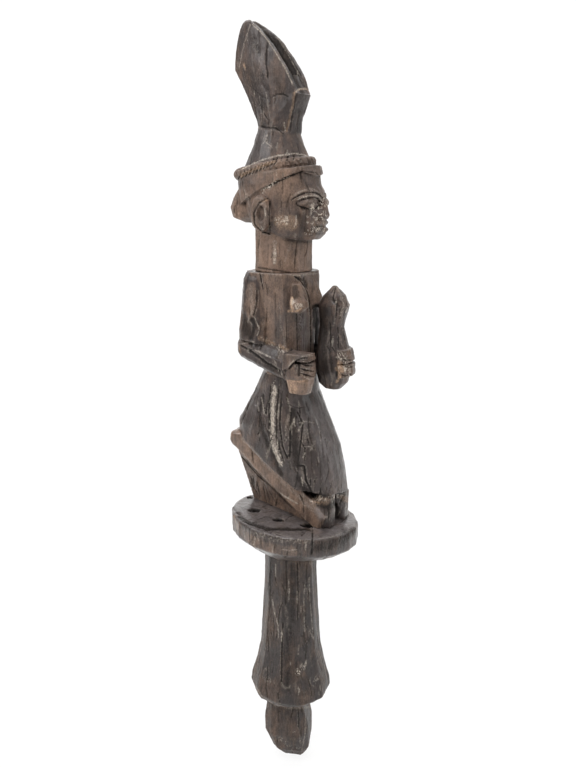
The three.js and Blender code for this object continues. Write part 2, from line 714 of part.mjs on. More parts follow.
function makeHead() {
  const lip = (z) => almond({
    x: 0, z, width: lips.width, height: lips.height, y: -head.frontY * lips.faceShare, reach: lips.reach,
  });
  const lowLip = jaw + lips.foot + lips.height / 2;
  const features = [makeNose(), lip(lowLip), lip(lowLip + lips.height + lips.gap)];
  for (const side of [-1, 1]) {
    features.push(almond({
      x: side * eye.x, z: jaw + eye.foot, width: eye.width, height: eye.height, y: -head.frontY * eye.faceShare, reach: eye.reach,
    }));
  }
  const whole = features.reduce((body, feature) => body.add(feature), headBody(0));
  const underJaw = between(plateTop, jawPlane).add(between(plateTop, jaw));
  const underHair = between(jaw, raised(hairSurface, -seam)).intersect(between(jaw - head.height, raised(browSurface, -seam)));
  return whole.subtract(underJaw).intersect(underHair);
}

function makeRightEar() {
  const z = jaw + ear.foot + ear.height / 2;
  const sides = 14;
  const ring = (x, size, shift) => Array.from({ length: sides }, (_, i) => {
    const angle = 360 * i / sides * degree;
    return [x, ear.y + shift + ear.width / 2 * size * Math.cos(angle), z + ear.height / 2 * size * Math.sin(angle)];
  });
  const face = -head.halfWide;
  const shell = loft([
    ring(face + ear.reach, 1, 0), ring(face - ear.reach * 0.7, 1, 0), ring(face - ear.reach, 0.86, 0),
  ]);
  const bowlSize = 1 - 2 * ear.rim / ear.width;
  const bowl = loft([
    ring(face - ear.reach + ear.bowl, bowlSize * 0.6, -ear.rim / 2),
    ring(face - ear.reach - overrun, bowlSize * 1.25, -ear.rim / 2),
  ]);
  return shell.subtract(bowl).subtract(headBody(seam));
}

function bunBody(grow) {
  const lobe = loft(bunShares.map(([height, width, out]) => {
    const half = bun.width / 2 * width + grow;
    return blockRing({
      x0: -half,
      x1: half,
      y0: bun.rootY - grow,
      y1: head.backY + bun.reach * out + grow,
      chamfer: half * 0.5,
      z: jaw + bun.foot + bun.height * height + grow * Math.sign(height - 0.5),
    });
  }));
  return lobe.intersect(between(plateTop, raised(bandFoot, grow - seam)));
}

// Hair roll, notched band, cone and crest

function makeRoll() {
  const ring = (size, z) => bodyRing({
    z, halfWide: roll.halfWide * size, front: roll.frontY * size, back: roll.backY * size, square: roll.square, sides: roll.sides,
  });
  const foot = jaw + hairline.height + hairline.slopeShare * roll.backY;
  const top = jaw + band.height;
  const body = loft([
    ring(roll.waistShare, foot - overrun),
    ring(0.97, lerp(foot, top, 0.2)),
    ring(1, lerp(foot, top, 0.55)),
    ring(0.97, lerp(foot, top, 0.82)),
    ring(roll.waistShare * 0.9, top + overrun),
  ]);
  const overFace = between(hairSurface, top + head.height).add(between(browSurface, top + head.height));
  return body.intersect(overFace).intersect(between(plateTop, raised(bandFoot, -seam)));
}

function makeBand() {
  const ring = (z, inset) => roundRing({
    y: band.centreY, z, halfWide: band.halfWide - inset, halfDeep: band.halfDeep - inset, sides: band.sides,
  });
  const edge = band.thickness * 0.22;
  let body = loft([
    ring(bandFoot, edge),
    ring(raised(bandFoot, band.thickness * 0.3), 0),
    ring(raised(bandTop, -band.thickness * 0.3), 0),
    ring(bandTop, edge),
  ]);
  for (let angle = notch.from; angle <= notch.to; angle += notch.step) {
    const at = (offset, reach) => [
      (band.halfWide + reach) * Math.cos((angle + offset) * degree),
      band.centreY + (band.halfDeep + reach) * Math.sin((angle + offset) * degree),
    ];
    const swing = notch.lean / 4;
    const half = notch.width / band.halfWide / degree / 2;
    const row = (z, shift) => [
      [...at(shift - half, overrun), z], [...at(shift + half, overrun), z], [...at(shift, -notch.depth), z],
    ];
    const [x, y] = at(0, 0);
    const low = bandFoot(x, y) - overrun;
    const high = bandTop(x, y) + overrun;
    body = body.subtract(loft([row(low, -swing), row(high, swing)]));
  }
  return body;
}

function makeCone() {
  const ring = (share, z) => roundRing({
    y: lerp(cone.footY, cone.topY, share),
    z,
    halfWide: lerp(cone.footHalfWide, cone.topRadius, share),
    halfDeep: lerp(cone.footHalfDeep, cone.topRadius, share),
    sides: cone.sides,
    turn: 180 / cone.sides,
  });
  const low = bandTop(0, band.centreY + band.halfDeep);
  const body = loft([
    ring(0, low - overrun), ring(0, low), ring(0.65, lerp(low, crestFoot, 0.6)), ring(1, crestFoot), ring(1, crestFoot + overrun),
  ]);
  return body.intersect(between(raised(bandTop, seam), crestSurface));
}

function crestBody() {
  const blade = loft(crestShares.map(([height, ...row]) => {
    const z = crestFoot + crest.height * height;
    const [frontHalf, middleHalf, backHalf] = row.map((share) => crest.halfWide * share);
    const front = -crest.frontY * row[3];
    const back = crest.backY * row[4];
    const side = [
      [frontHalf, front], [middleHalf, lerp(front, back, 0.4)], [backHalf, lerp(front, back, 0.8)], [backHalf * 0.4, back],
    ];
    return [...side, ...side.map(([x, y]) => [-x, y]).reverse()].map(([x, y]) => [x, y, z]);
  }));
  return blade.intersect(between(raised(crestSurface, seam), crestFoot + crest.height * 2));
}

/** Channel along the crest's front edge, from the nick up to the tip. */
function channelCut() {
  const rows = crestShares.filter(([height]) => height >= crest.nickShare - 0.02);
  const rings = rows.map(([height, frontWide, , , front]) => {
    const z = crestFoot + crest.height * height;
    const half = crest.halfWide * frontWide * crest.channelShare;
    const y = -crest.frontY * front;
    const deep = crest.channelDepth * (height > 0.9 ? 0.5 : 1);
    return [[half, y - overrun, z], [half, y, z], [half * 0.35, y + deep, z], [-half * 0.35, y + deep, z],
      [-half, y, z], [-half, y - overrun, z]];
  });
  return loft(rings);
}

function panelBody(grow) {
  const rows = crestShares.slice(0, 4);
  const low = crestFoot + crest.height * crestPanel.footShare;
  const high = crestFoot + crest.height * crestPanel.topShare;
  const half = crestPanel.halfWide + grow;
  return loft(rows.map(([height, , , , front], level) => {
    const share = level / (rows.length - 1);
    const z = lerp(low, high, share) + grow * Math.sign(share - 0.5);
    const y = -crest.frontY * front;
    const out = crestPanel.reach;
    const lead = out + grow * 4;
    return [[half, y + out + grow, z], [-half, y + out + grow, z], [-half, y - lead * 0.5, z],
      [-half * 0.6, y - lead, z], [half * 0.6, y - lead, z], [half, y - lead * 0.5, z]];
  }));
}

// Assembly

const darkWood = { color: 0x3a332f, roughness: 0.5, metalness: 0 };
const brownWood = { color: 0x55453a, roughness: 0.6, metalness: 0 };
const wornWood = { color: 0x6b5140, roughness: 0.65, metalness: 0 };

const wand = new THREE.Group();
wand.position.z = -(handleFoot + handle.length / 2);

/** Adds one carved region as a named mesh. */
function place(name, body, finish) {
  const mesh = body.getMesh();
  const geometry = new THREE.BufferGeometry();
  geometry.setAttribute('position', new THREE.BufferAttribute(new Float32Array(mesh.vertProperties), 3));
  geometry.setIndex(new THREE.BufferAttribute(new Uint32Array(mesh.triVerts), 1));
  const piece = new THREE.Mesh(geometry, new THREE.MeshStandardMaterial(finish));
  piece.name = name;
  wand.add(piece);
}

// Grown copies that cut the neighbours of a piece.
const legsGrown = makeLeg(-1, seam).add(makeLeg(1, seam));

place('finial', makeFinial(), darkWood);
place('handle', makeHandle(), darkWood);
place('base_plate', makePlate(), darkWood);
place('leg_support', makeSupport().subtract(legsGrown), wornWood);
place('right_lower_leg', makeLeg(-1, 0), wornWood);
place('left_lower_leg', makeLeg(1, 0), wornWood);
place('right_knee', makeKnee(-1).subtract(legsGrown), darkWood);
place('left_knee', makeKnee(1).subtract(legsGrown), darkWood);

const rightArmGrown = upperArmBody(upperArm, seam);
const leftArmGrown = mirrored(upperArmBody(leftArm, seam));
const rightForeGrown = forearmBody(upperArm, seam);
const leftForeGrown = mirrored(forearmBody(leftArm, seam));
const gourdGrown = gourdBody(seam);
const wrapperGrown = wrapperBody(seam).intersect(between(plateTop, waist));
const torsoGrown = torsoBody(seam);

const torsoSolid = torsoBody(0)
  .subtract(rightArmGrown)
  .subtract(leftArmGrown)
  .subtract(rightForeGrown)
  .subtract(leftForeGrown);

place('wrapper', makeWrapper().subtract(rightForeGrown).subtract(leftForeGrown).subtract(gourdGrown), darkWood);
place('torso', torsoSolid, brownWood);
place('neck', makeNeck(), brownWood);
place('right_breast', makeBreast(-1, breast.rightX, breast.reach).subtract(torsoGrown), wornWood);
place('left_breast', makeBreast(1, breast.leftX, breast.leftReach).subtract(torsoGrown).subtract(gourdGrown), wornWood);
place('right_upper_arm', upperArmBody(upperArm, 0), darkWood);
place('left_upper_arm', mirrored(upperArmBody(leftArm, 0)).subtract(gourdGrown), darkWood);
place('right_forearm', forearmBody(upperArm, 0), darkWood);
place('left_forearm', mirrored(forearmBody(leftArm, 0)).subtract(gourdGrown), darkWood);
place('right_hand', makeFist().subtract(torsoGrown), brownWood);
place('held_handle_end', makeGrip().subtract(wrapperGrown), wornWood);
place('gourd_rattle', gourdBody(0), darkWood);
place('left_hand', makeLeftHand().subtract(gourdGrown).subtract(leftForeGrown).subtract(torsoGrown), wornWood);

place('head', makeHead().subtract(bunBody(seam)), darkWood);
place('right_ear', makeRightEar(), brownWood);
place('left_ear', mirrored(makeRightEar()), brownWood);
place('nape_bun', bunBody(0), darkWood);
place('hair_roll', makeRoll().subtract(bunBody(seam)), darkWood);
place('headdress_band', makeBand(), brownWood);
place('headdress_cone', makeCone(), darkWood);
place('crest', crestBody().subtract(channelCut()).subtract(panelBody(seam)), darkWood);
place('crest_front_panel', panelBody(0).intersect(between(raised(crestSurface, seam), crestFoot + crest.height)), darkWood);

export default wand;
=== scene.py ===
"""Carved dance wand: a kneeling figure on a pierced plate, with a handle, a finial and a tall crest.

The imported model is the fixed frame. Each operator but the last carves one stretch of the wand out of the
frame's own solids: they are joined into one block, cut with tool marks, worn, and given their patina. The
last one sets the floor, the lamps and the camera.
"""

import math

import bmesh
import bpy
import numpy as np
from bpy.props import FloatProperty, FloatVectorProperty, IntProperty, PointerProperty
from mathutils import Matrix, Vector
from mathutils.bvhtree import BVHTree
from mathutils.kdtree import KDTree


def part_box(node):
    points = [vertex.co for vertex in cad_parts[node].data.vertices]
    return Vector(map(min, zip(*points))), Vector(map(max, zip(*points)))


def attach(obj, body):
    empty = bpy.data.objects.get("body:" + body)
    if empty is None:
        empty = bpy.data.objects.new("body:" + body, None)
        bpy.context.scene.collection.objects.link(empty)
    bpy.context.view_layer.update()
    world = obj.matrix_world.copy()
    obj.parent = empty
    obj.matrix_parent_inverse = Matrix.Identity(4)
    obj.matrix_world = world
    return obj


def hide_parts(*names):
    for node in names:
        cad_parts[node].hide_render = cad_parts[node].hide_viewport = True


bl_info = {
    "name": "Carved Dance Wand",
    "version": (1, 0, 0),
    "blender": (4, 5, 0),
    "location": "3D View > Sidebar > Wand",
    "description": "Carves, wears and lights a wooden dance wand over its packed frame",
    "category": "Object",
}

MM = 0.001
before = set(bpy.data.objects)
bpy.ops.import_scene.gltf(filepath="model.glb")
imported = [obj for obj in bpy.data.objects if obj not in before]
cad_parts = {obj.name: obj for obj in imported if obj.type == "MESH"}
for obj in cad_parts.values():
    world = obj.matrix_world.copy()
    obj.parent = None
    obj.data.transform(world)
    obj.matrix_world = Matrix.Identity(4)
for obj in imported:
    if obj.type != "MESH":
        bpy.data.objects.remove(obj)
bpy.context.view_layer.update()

# Photograph: its size and its camera's focal length, in pixels.
PHOTO_WIDE, PHOTO_HIGH = 576, 768
FOCAL_PIXELS = 780.0

# How warm each region's wood is: 0 is the dark handled patina, 1 the brown of seldom touched wood.
WARMTH = {
    "finial": 0.3, "handle": 0.15, "base_plate": 0.15,
    "leg_support": 0.8, "right_lower_leg": 1.0, "left_lower_leg": 1.0, "right_knee": 0.2, "left_knee": 0.2,
    "wrapper": 0.0, "torso": 0.55, "neck": 0.95, "right_breast": 0.7, "left_breast": 0.7,
    "right_upper_arm": 0.05, "left_upper_arm": 0.1, "right_forearm": 0.1, "left_forearm": 0.3,
    "right_hand": 0.4, "held_handle_end": 0.8, "gourd_rattle": 0.12, "left_hand": 0.35,
    "head": 0.42, "right_ear": 0.7, "left_ear": 0.7, "nape_bun": 0.6, "hair_roll": 0.5,
    "headdress_band": 0.58, "headdress_cone": 0.26, "crest": 0.04, "crest_front_panel": 0.0,
}

# Regions whose skin is smoothed more often than the rest before it is carved: how often, and the share of the
# region's height below which it isn't.
ROUNDING = {
    "right_lower_leg": (36, 0.6), "left_lower_leg": (36, 0.6),
    "right_knee": (5, 0.0), "left_knee": (5, 0.0),
    "held_handle_end": (8, 0.0), "right_forearm": (6, 0.0), "left_forearm": (6, 0.0),
    "gourd_rattle": (2, 0.0), "right_upper_arm": (8, 0.0), "left_upper_arm": (8, 0.0),
    "base_plate": (12, 0.0), "handle": (4, 0.0),
}

# Marks that the photograph shows, by stretch and place. A mark is its kind, its half width and depth in
# millimetres, its strength, and the line that it follows in the photograph's pixels. crack cuts a sharp
# groove, pit paints deep shade, sunk as a hole where it has depth, dirt_and_shade darkens with dirt and
# painted shade, dust_and_highlight pales with dust and painted highlights, raw bares the wood,
# rub_and_highlight polishes an edge and paints highlights, warm browns, film_and_sheen greys with film
# and painted sheen, specks scatters pale flecks and gouges scatters short cuts to both sides.
HANDLE_MARKS = {
    "pale scratches near the top": [
        ("dust_and_highlight", 0.7, 0.2, 0.8, [(275.6, 564), (275.6, 577)]),
        ("dust_and_highlight", 0.6, 0.2, 0.7, [(288.5, 579), (289.2, 590), (288.6, 602)]),
        ("crack", 0.8, 0.3, 0.7, [(286, 560), (286.5, 585), (285.5, 606)]),
    ],
    "pale scratches at the middle": [
        ("dust_and_highlight", 0.7, 0.2, 0.7, [(272, 597), (274, 612), (278, 626), (278.5, 640)]),
        ("dust_and_highlight", 0.8, 0.2, 0.8, [(282, 630), (281.6, 641)]),
        ("dust_and_highlight", 0.6, 0.2, 0.8, [(297, 591), (297.4, 605)]),
    ],
    "long pale scratches": [
        ("dust_and_highlight", 0.6, 0.2, 0.7, [(304.5, 585), (304, 604), (304.8, 632)]),
        ("dust_and_highlight", 0.5, 0.1, 0.6, [(309, 575), (310, 600), (313, 634)]),
        ("dust_and_highlight", 0.5, 0.1, 0.6, [(268, 600), (264, 634), (257, 664)]),
    ],
    "dark middle facet": [
        ("dirt_and_shade", 3.6, 0.5, 0.55, [(292.5, 565), (292.5, 620)]),
        ("crack", 0.7, 0.4, 0.8, [(297.4, 563), (298, 590), (297.6, 620)]),
        ("dirt_and_shade", 5.2, 0.4, 0.5, [(290, 628), (289, 655), (288, 682)]),
        ("crack", 0.8, 0.5, 0.8, [(283, 622), (282, 650), (281.5, 684)]),
    ],
    "bare chip on the flare": [
        ("dust_and_highlight", 1.1, 0.5, 0.8, [(306.5, 660), (305.5, 666), (304, 670)]),
    ],
    "short cuts on the facets": [
        ("gouges", 7.0, 0.3, 0.6, [(272, 572), (274, 600), (276, 640)]),
        ("gouges", 7.0, 0.3, 0.5, [(300, 572), (302, 610), (306, 650)]),
    ],
    "specks round the chip": [
        ("dust_and_highlight", 0.8, 0.3, 0.8, [(300, 667), (302, 664)]),
        ("specks", 2.6, 0.1, 0.8, [(298, 672), (304, 668)]),
        ("dust_and_highlight", 0.7, 0.5, 0.35, [(281, 682), (284, 688), (289, 688), (291, 684)]),
    ],
    "rubbed rim and corners": [
        ("rub_and_highlight", 1.4, 0.2, 0.9, [
            (253, 683), (262, 697), (275, 705), (290, 708), (310, 707), (322, 698), (329, 685)
        ]),
        ("rub_and_highlight", 0.9, 0.1, 0.8, [(312, 562), (314, 600), (317, 630), (325, 668), (328, 684)]),
        ("rub_and_highlight", 0.9, 0.1, 0.5, [(264, 562), (263, 600), (259, 640), (253, 682)]),
    ],
    "crack on the left facet": [
        ("crack", 0.6, 0.3, 0.6, [(271, 562), (270, 600), (266, 650)]),
    ],
    "specks on the flare": [
        ("specks", 2.6, 0.1, 0.25, [(262, 676), (274, 684)]),
        ("specks", 2.4, 0.1, 0.3, [(314, 684), (318, 676)]),
    ],
    "finial": [
        ("rub_and_highlight", 0.9, 0.1, 0.8, [(306, 712), (305, 735), (302, 750)]),
        ("dust_and_highlight", 0.7, 0.1, 0.8, [(293, 732), (295, 732)]),
        ("specks", 2.6, 0.1, 0.25, [(279, 738), (290, 746), (299, 748)]),
        ("crack", 0.6, 0.2, 0.6, [(278, 708), (279, 724)]),
    ],
}
PLATE_MARKS = {
    "crack behind the front rim": [
        ("dirt_and_shade", 4.0, 0.4, 1.0, [(240, 517), (252, 524), (268, 529), (290, 529), (308, 529)]),
        ("crack", 1.1, 0.9, 1.0, [
            (243, 521), (254, 525.5), (267, 530), (280, 528.5), (292, 530), (305, 529), (311, 530.5)
        ]),
        ("dirt_and_shade", 1.4, 0.2, 0.5, [(246, 525), (262, 531), (272, 532)]),
    ],
    "fine cracks on the top": [
        ("crack", 0.6, 0.4, 0.8, [(262, 507), (268, 504.5), (275, 506), (282, 503)]),
        ("crack", 0.6, 0.3, 0.7, [(257, 520), (266, 516.5), (273, 518)]),
        ("crack", 0.6, 0.3, 0.7, [(283, 523), (289, 517), (297, 514)]),
        ("crack", 0.5, 0.3, 0.7, [(262, 513), (272, 511), (277, 512.5)]),
    ],
    "pale scratches on the rim": [
        ("dust_and_highlight", 0.9, 0.2, 0.8, [(273, 532.5), (280, 534), (288, 536.5)]),
        ("dust_and_highlight", 0.6, 0.1, 0.7, [(318, 538.5), (331, 537), (345, 531)]),
        ("dust_and_highlight", 0.5, 0.1, 0.6, [(281, 549), (290, 550.5), (296, 550)]),
    ],
    "upright crack in the rim": [
        ("crack", 0.7, 0.8, 1.0, [(312.4, 520), (312.6, 536), (312, 555)]),
    ],
    "pale scratches at the left": [
        ("dust_and_highlight", 0.5, 0.1, 0.7, [(244, 527), (245, 541)]),
        ("dust_and_highlight", 0.5, 0.1, 0.7, [(256, 532), (259, 542)]),
    ],
    "dark places on the rim": [
        ("dirt_and_shade", 3.0, 0.8, 0.6, [(239, 513), (243, 516)]),
        ("dirt_and_shade", 8.0, 0.0, 0.7, [(318, 547), (342, 541), (354, 529)]),
    ],
    "rubbed edge of the rim": [
        ("rub_and_highlight", 1.0, 0.1, 0.5, [(315, 541), (332, 539), (346, 533), (356, 524)]),
        ("rub_and_highlight", 1.0, 0.1, 0.45, [(247, 531), (262, 538), (280, 541), (305, 543)]),
    ],
    "specks and bare wood on the rim": [
        ("specks", 3.0, 0.0, 0.25, [(262, 534), (285, 540), (308, 541)]),
        ("raw", 1.2, 0.1, 0.5, [(234, 516), (236, 524)]),
    ],
    "short cuts": [
        ("gouges", 8.0, 0.5, 0.8, [(246, 516), (262, 526), (282, 530), (306, 530)]),
        ("gouges", 6.0, 0.4, 0.7, [(250, 506), (268, 512), (290, 520)]),
        ("gouges", 7.0, 0.4, 0.6, [(240, 530), (270, 544), (320, 548), (348, 538)]),
    ],
    "dark edge at the left": [
        ("dirt_and_shade", 1.6, 0.2, 0.6, [(233, 508), (239, 514), (246, 521)]),
    ],
    "browner wood": [
        ("warm", 6.0, 0.0, 0.6, [(294, 512), (306, 519), (316, 532)]),
        ("warm", 5.0, 0.0, 0.5, [(238, 528), (250, 540), (268, 549), (292, 552)]),
    ],
    # The pits paint shade inside the cord holes.
    "cord holes": [
        ("pit", 2.6, 0.9, 1.0, [(251.8, 510.6), (254.6, 509.4), (258, 509.6)]),
        ("pit", 2.5, 1.2, 1.0, [(276.4, 520.4), (279, 519.8), (281, 520)]),
        ("pit", 2.7, 1.3, 1.0, [(304, 525.6), (308, 524.8), (311, 526.4)]),
        ("pit", 2.0, 0.7, 1.0, [(242, 496.6), (246.4, 495.6)]),
    ],
}
LEG_MARKS = {
    # Painted grey sheen on the wrapper.
    "grey film on the wrapper": [
        ("film_and_sheen", 11.0, 0.0, 0.55, [(318, 412), (328, 450), (334, 482)]),
        ("film_and_sheen", 7.0, 0.0, 0.4, [(296, 400), (306, 430)]),
        ("film_and_sheen", 6.0, 0.0, 0.3, [(266, 384), (256, 410)]),
    ],
    "pale strip down the wrapper": [
        ("specks", 2.8, 0.1, 0.85, [(275, 384), (272.5, 404), (272, 434), (276, 450), (281, 465)]),
        ("dust_and_highlight", 2.2, 0.2, 0.72, [(275.6, 386), (273.5, 398), (272.4, 412), (272, 434)]),
        ("crack", 0.8, 0.4, 0.9, [(270.6, 386), (269, 410), (268.8, 436), (273, 454), (279, 466)]),
        ("crack", 0.8, 0.4, 0.9, [(279, 386), (277, 408), (276.4, 436), (280, 450), (284, 463)]),
        ("dust_and_highlight", 2.6, 0.2, 0.82, [(271.6, 442), (275, 452), (279.5, 463)]),
    ],
    "short cuts": [
        ("gouges", 8.0, 0.7, 0.9, [(262, 392), (260, 412), (264, 432), (272, 452)]),
        ("gouges", 7.0, 0.7, 0.9, [(284, 400), (286, 424), (287, 450)]),
        ("gouges", 7.0, 0.7, 0.9, [(296, 414), (298, 440), (300, 462)]),
        ("gouges", 7.0, 0.4, 0.6, [(312, 420), (318, 450), (324, 480)]),
        ("gouges", 6.0, 0.6, 0.9, [(304, 476), (316, 494), (328, 500)]),
        ("gouges", 5.0, 0.6, 0.9, [(318, 500), (330, 506), (342, 506)]),
        ("gouges", 6.0, 0.5, 0.7, [(246, 470), (258, 486), (276, 500)]),
    ],
    "folds beside the pale strip": [
        ("rub_and_highlight", 1.5, 0.3, 0.9, [(275, 388), (272.5, 404), (272, 434), (276, 450), (280, 464)]),
        ("dirt_and_shade", 3.4, 0.7, 0.75, [(263, 396), (259, 412), (262, 430), (270, 448), (281, 474)]),
        ("crack", 0.9, 0.6, 0.8, [(257, 386), (249, 404), (241, 424)]),
        ("crack", 0.8, 0.7, 0.9, [(281, 399), (279.6, 425), (282.4, 446), (287, 458), (291, 452)]),
    ],
    "folds in the middle of the wrapper": [
        # This dark row paints the shade in the groove between the thighs.
        ("dirt_and_shade", 4.4, 0.5, 0.75, [(293, 410), (294, 430), (295, 450), (297, 465)]),
        ("crack", 0.9, 0.8, 1.0, [(291.4, 408), (290.4, 430), (289.6, 458)]),
        ("crack", 0.8, 0.6, 0.9, [(297, 411), (303, 424), (300, 448), (297, 466)]),
        ("crack", 0.6, 0.3, 0.7, [(288, 404), (296, 408), (304, 407)]),
        ("crack", 1.0, 0.8, 1.0, [(297, 466), (304, 466), (306, 481), (314, 497), (324, 497)]),
        ("dirt_and_shade", 3.8, 0.6, 0.7, [(299, 478), (304, 489), (312, 498)]),
    ],
    "fine scratches on the wrapper": [
        ("dust_and_highlight", 0.6, 0.1, 0.7, [(297, 423.5), (305, 421.5), (314, 423)]),
        ("dust_and_highlight", 0.5, 0.1, 0.7, [(303, 447), (312, 446.4)]),
        ("dust_and_highlight", 0.5, 0.1, 0.6, [(315, 416), (320, 432), (321, 445)]),
        ("crack", 0.5, 0.2, 0.5, [(318, 445), (321, 465), (320, 484)]),
        ("crack", 0.5, 0.2, 0.5, [(311, 450), (312, 470), (316, 486)]),
    ],
    # Painted highlights along the leg's edges, beside a crack.
    "edges of the right lower leg": [
        ("dust_and_highlight", 0.8, 0.2, 1.0, [(278, 492), (287, 497.5), (298, 504)]),
        ("rub_and_highlight", 0.9, 0.1, 0.9, [(238, 453), (249, 463), (260, 474), (272, 486)]),
        ("crack", 0.8, 0.5, 0.9, [(236, 450), (247, 463), (258, 476), (266, 483)]),
        ("rub_and_highlight", 1.8, 0.0, 0.6, [(241, 437), (262, 460), (284, 483), (306, 504), (320, 516)]),
    ],
    "short cracks under the right lower leg": [
        ("crack", 0.6, 0.4, 0.8, [(251, 476), (254, 491)]),
        ("crack", 0.6, 0.4, 0.8, [(257, 482), (260, 496)]),
        ("crack", 0.6, 0.4, 0.7, [(263, 486), (266, 499)]),
        ("crack", 0.6, 0.3, 0.7, [(270, 492), (275, 502)]),
        ("dirt_and_shade", 1.6, 0.2, 0.8, [(246, 460), (262, 478), (280, 496), (292, 508)]),
    ],
    "hem and knees": [
        # This dark row paints the shade in the gap between the knees.
        ("dirt_and_shade", 2.6, 0.9, 1.0, [(333, 499), (336, 508), (337, 521)]),
        ("raw", 3.4, 0.0, 0.3, [(314, 499), (326, 502)]),
        ("raw", 2.6, 0.0, 0.35, [(340, 497), (348, 500)]),
        ("dirt_and_shade", 4.0, 0.8, 0.9, [(319, 504), (326, 507), (334, 505)]),
        # The film rows paint grey sheen on the knees.
        ("film_and_sheen", 4.0, 0.0, 0.7, [(318, 511), (322, 518)]),
        ("film_and_sheen", 4.0, 0.0, 0.6, [(342, 504), (345, 514)]),
        ("dirt_and_shade", 3.0, 0.5, 0.8, [(303, 487), (314, 495), (330, 497)]),
        ("gouges", 5.0, 0.9, 1.0, [(308, 494), (322, 504), (342, 500)]),
        ("dirt_and_shade", 2.0, 0.3, 0.6, [(322, 507), (329, 509)]),
        ("specks", 2.4, 0.1, 0.7, [(313, 501), (320, 502)]),
        ("raw", 1.1, 0.1, 0.6, [(313, 501.5), (318, 502)]),
        ("dust_and_highlight", 0.9, 0.1, 0.9, [(325, 517), (327, 517)]),
        ("dust_and_highlight", 0.8, 0.1, 0.9, [(346, 508), (347, 506)]),
        ("crack", 0.6, 0.4, 0.8, [(327, 499), (329, 512), (328, 522)]),
        ("specks", 2.4, 0.1, 0.6, [(316, 498), (330, 498), (344, 495)]),
    ],
}
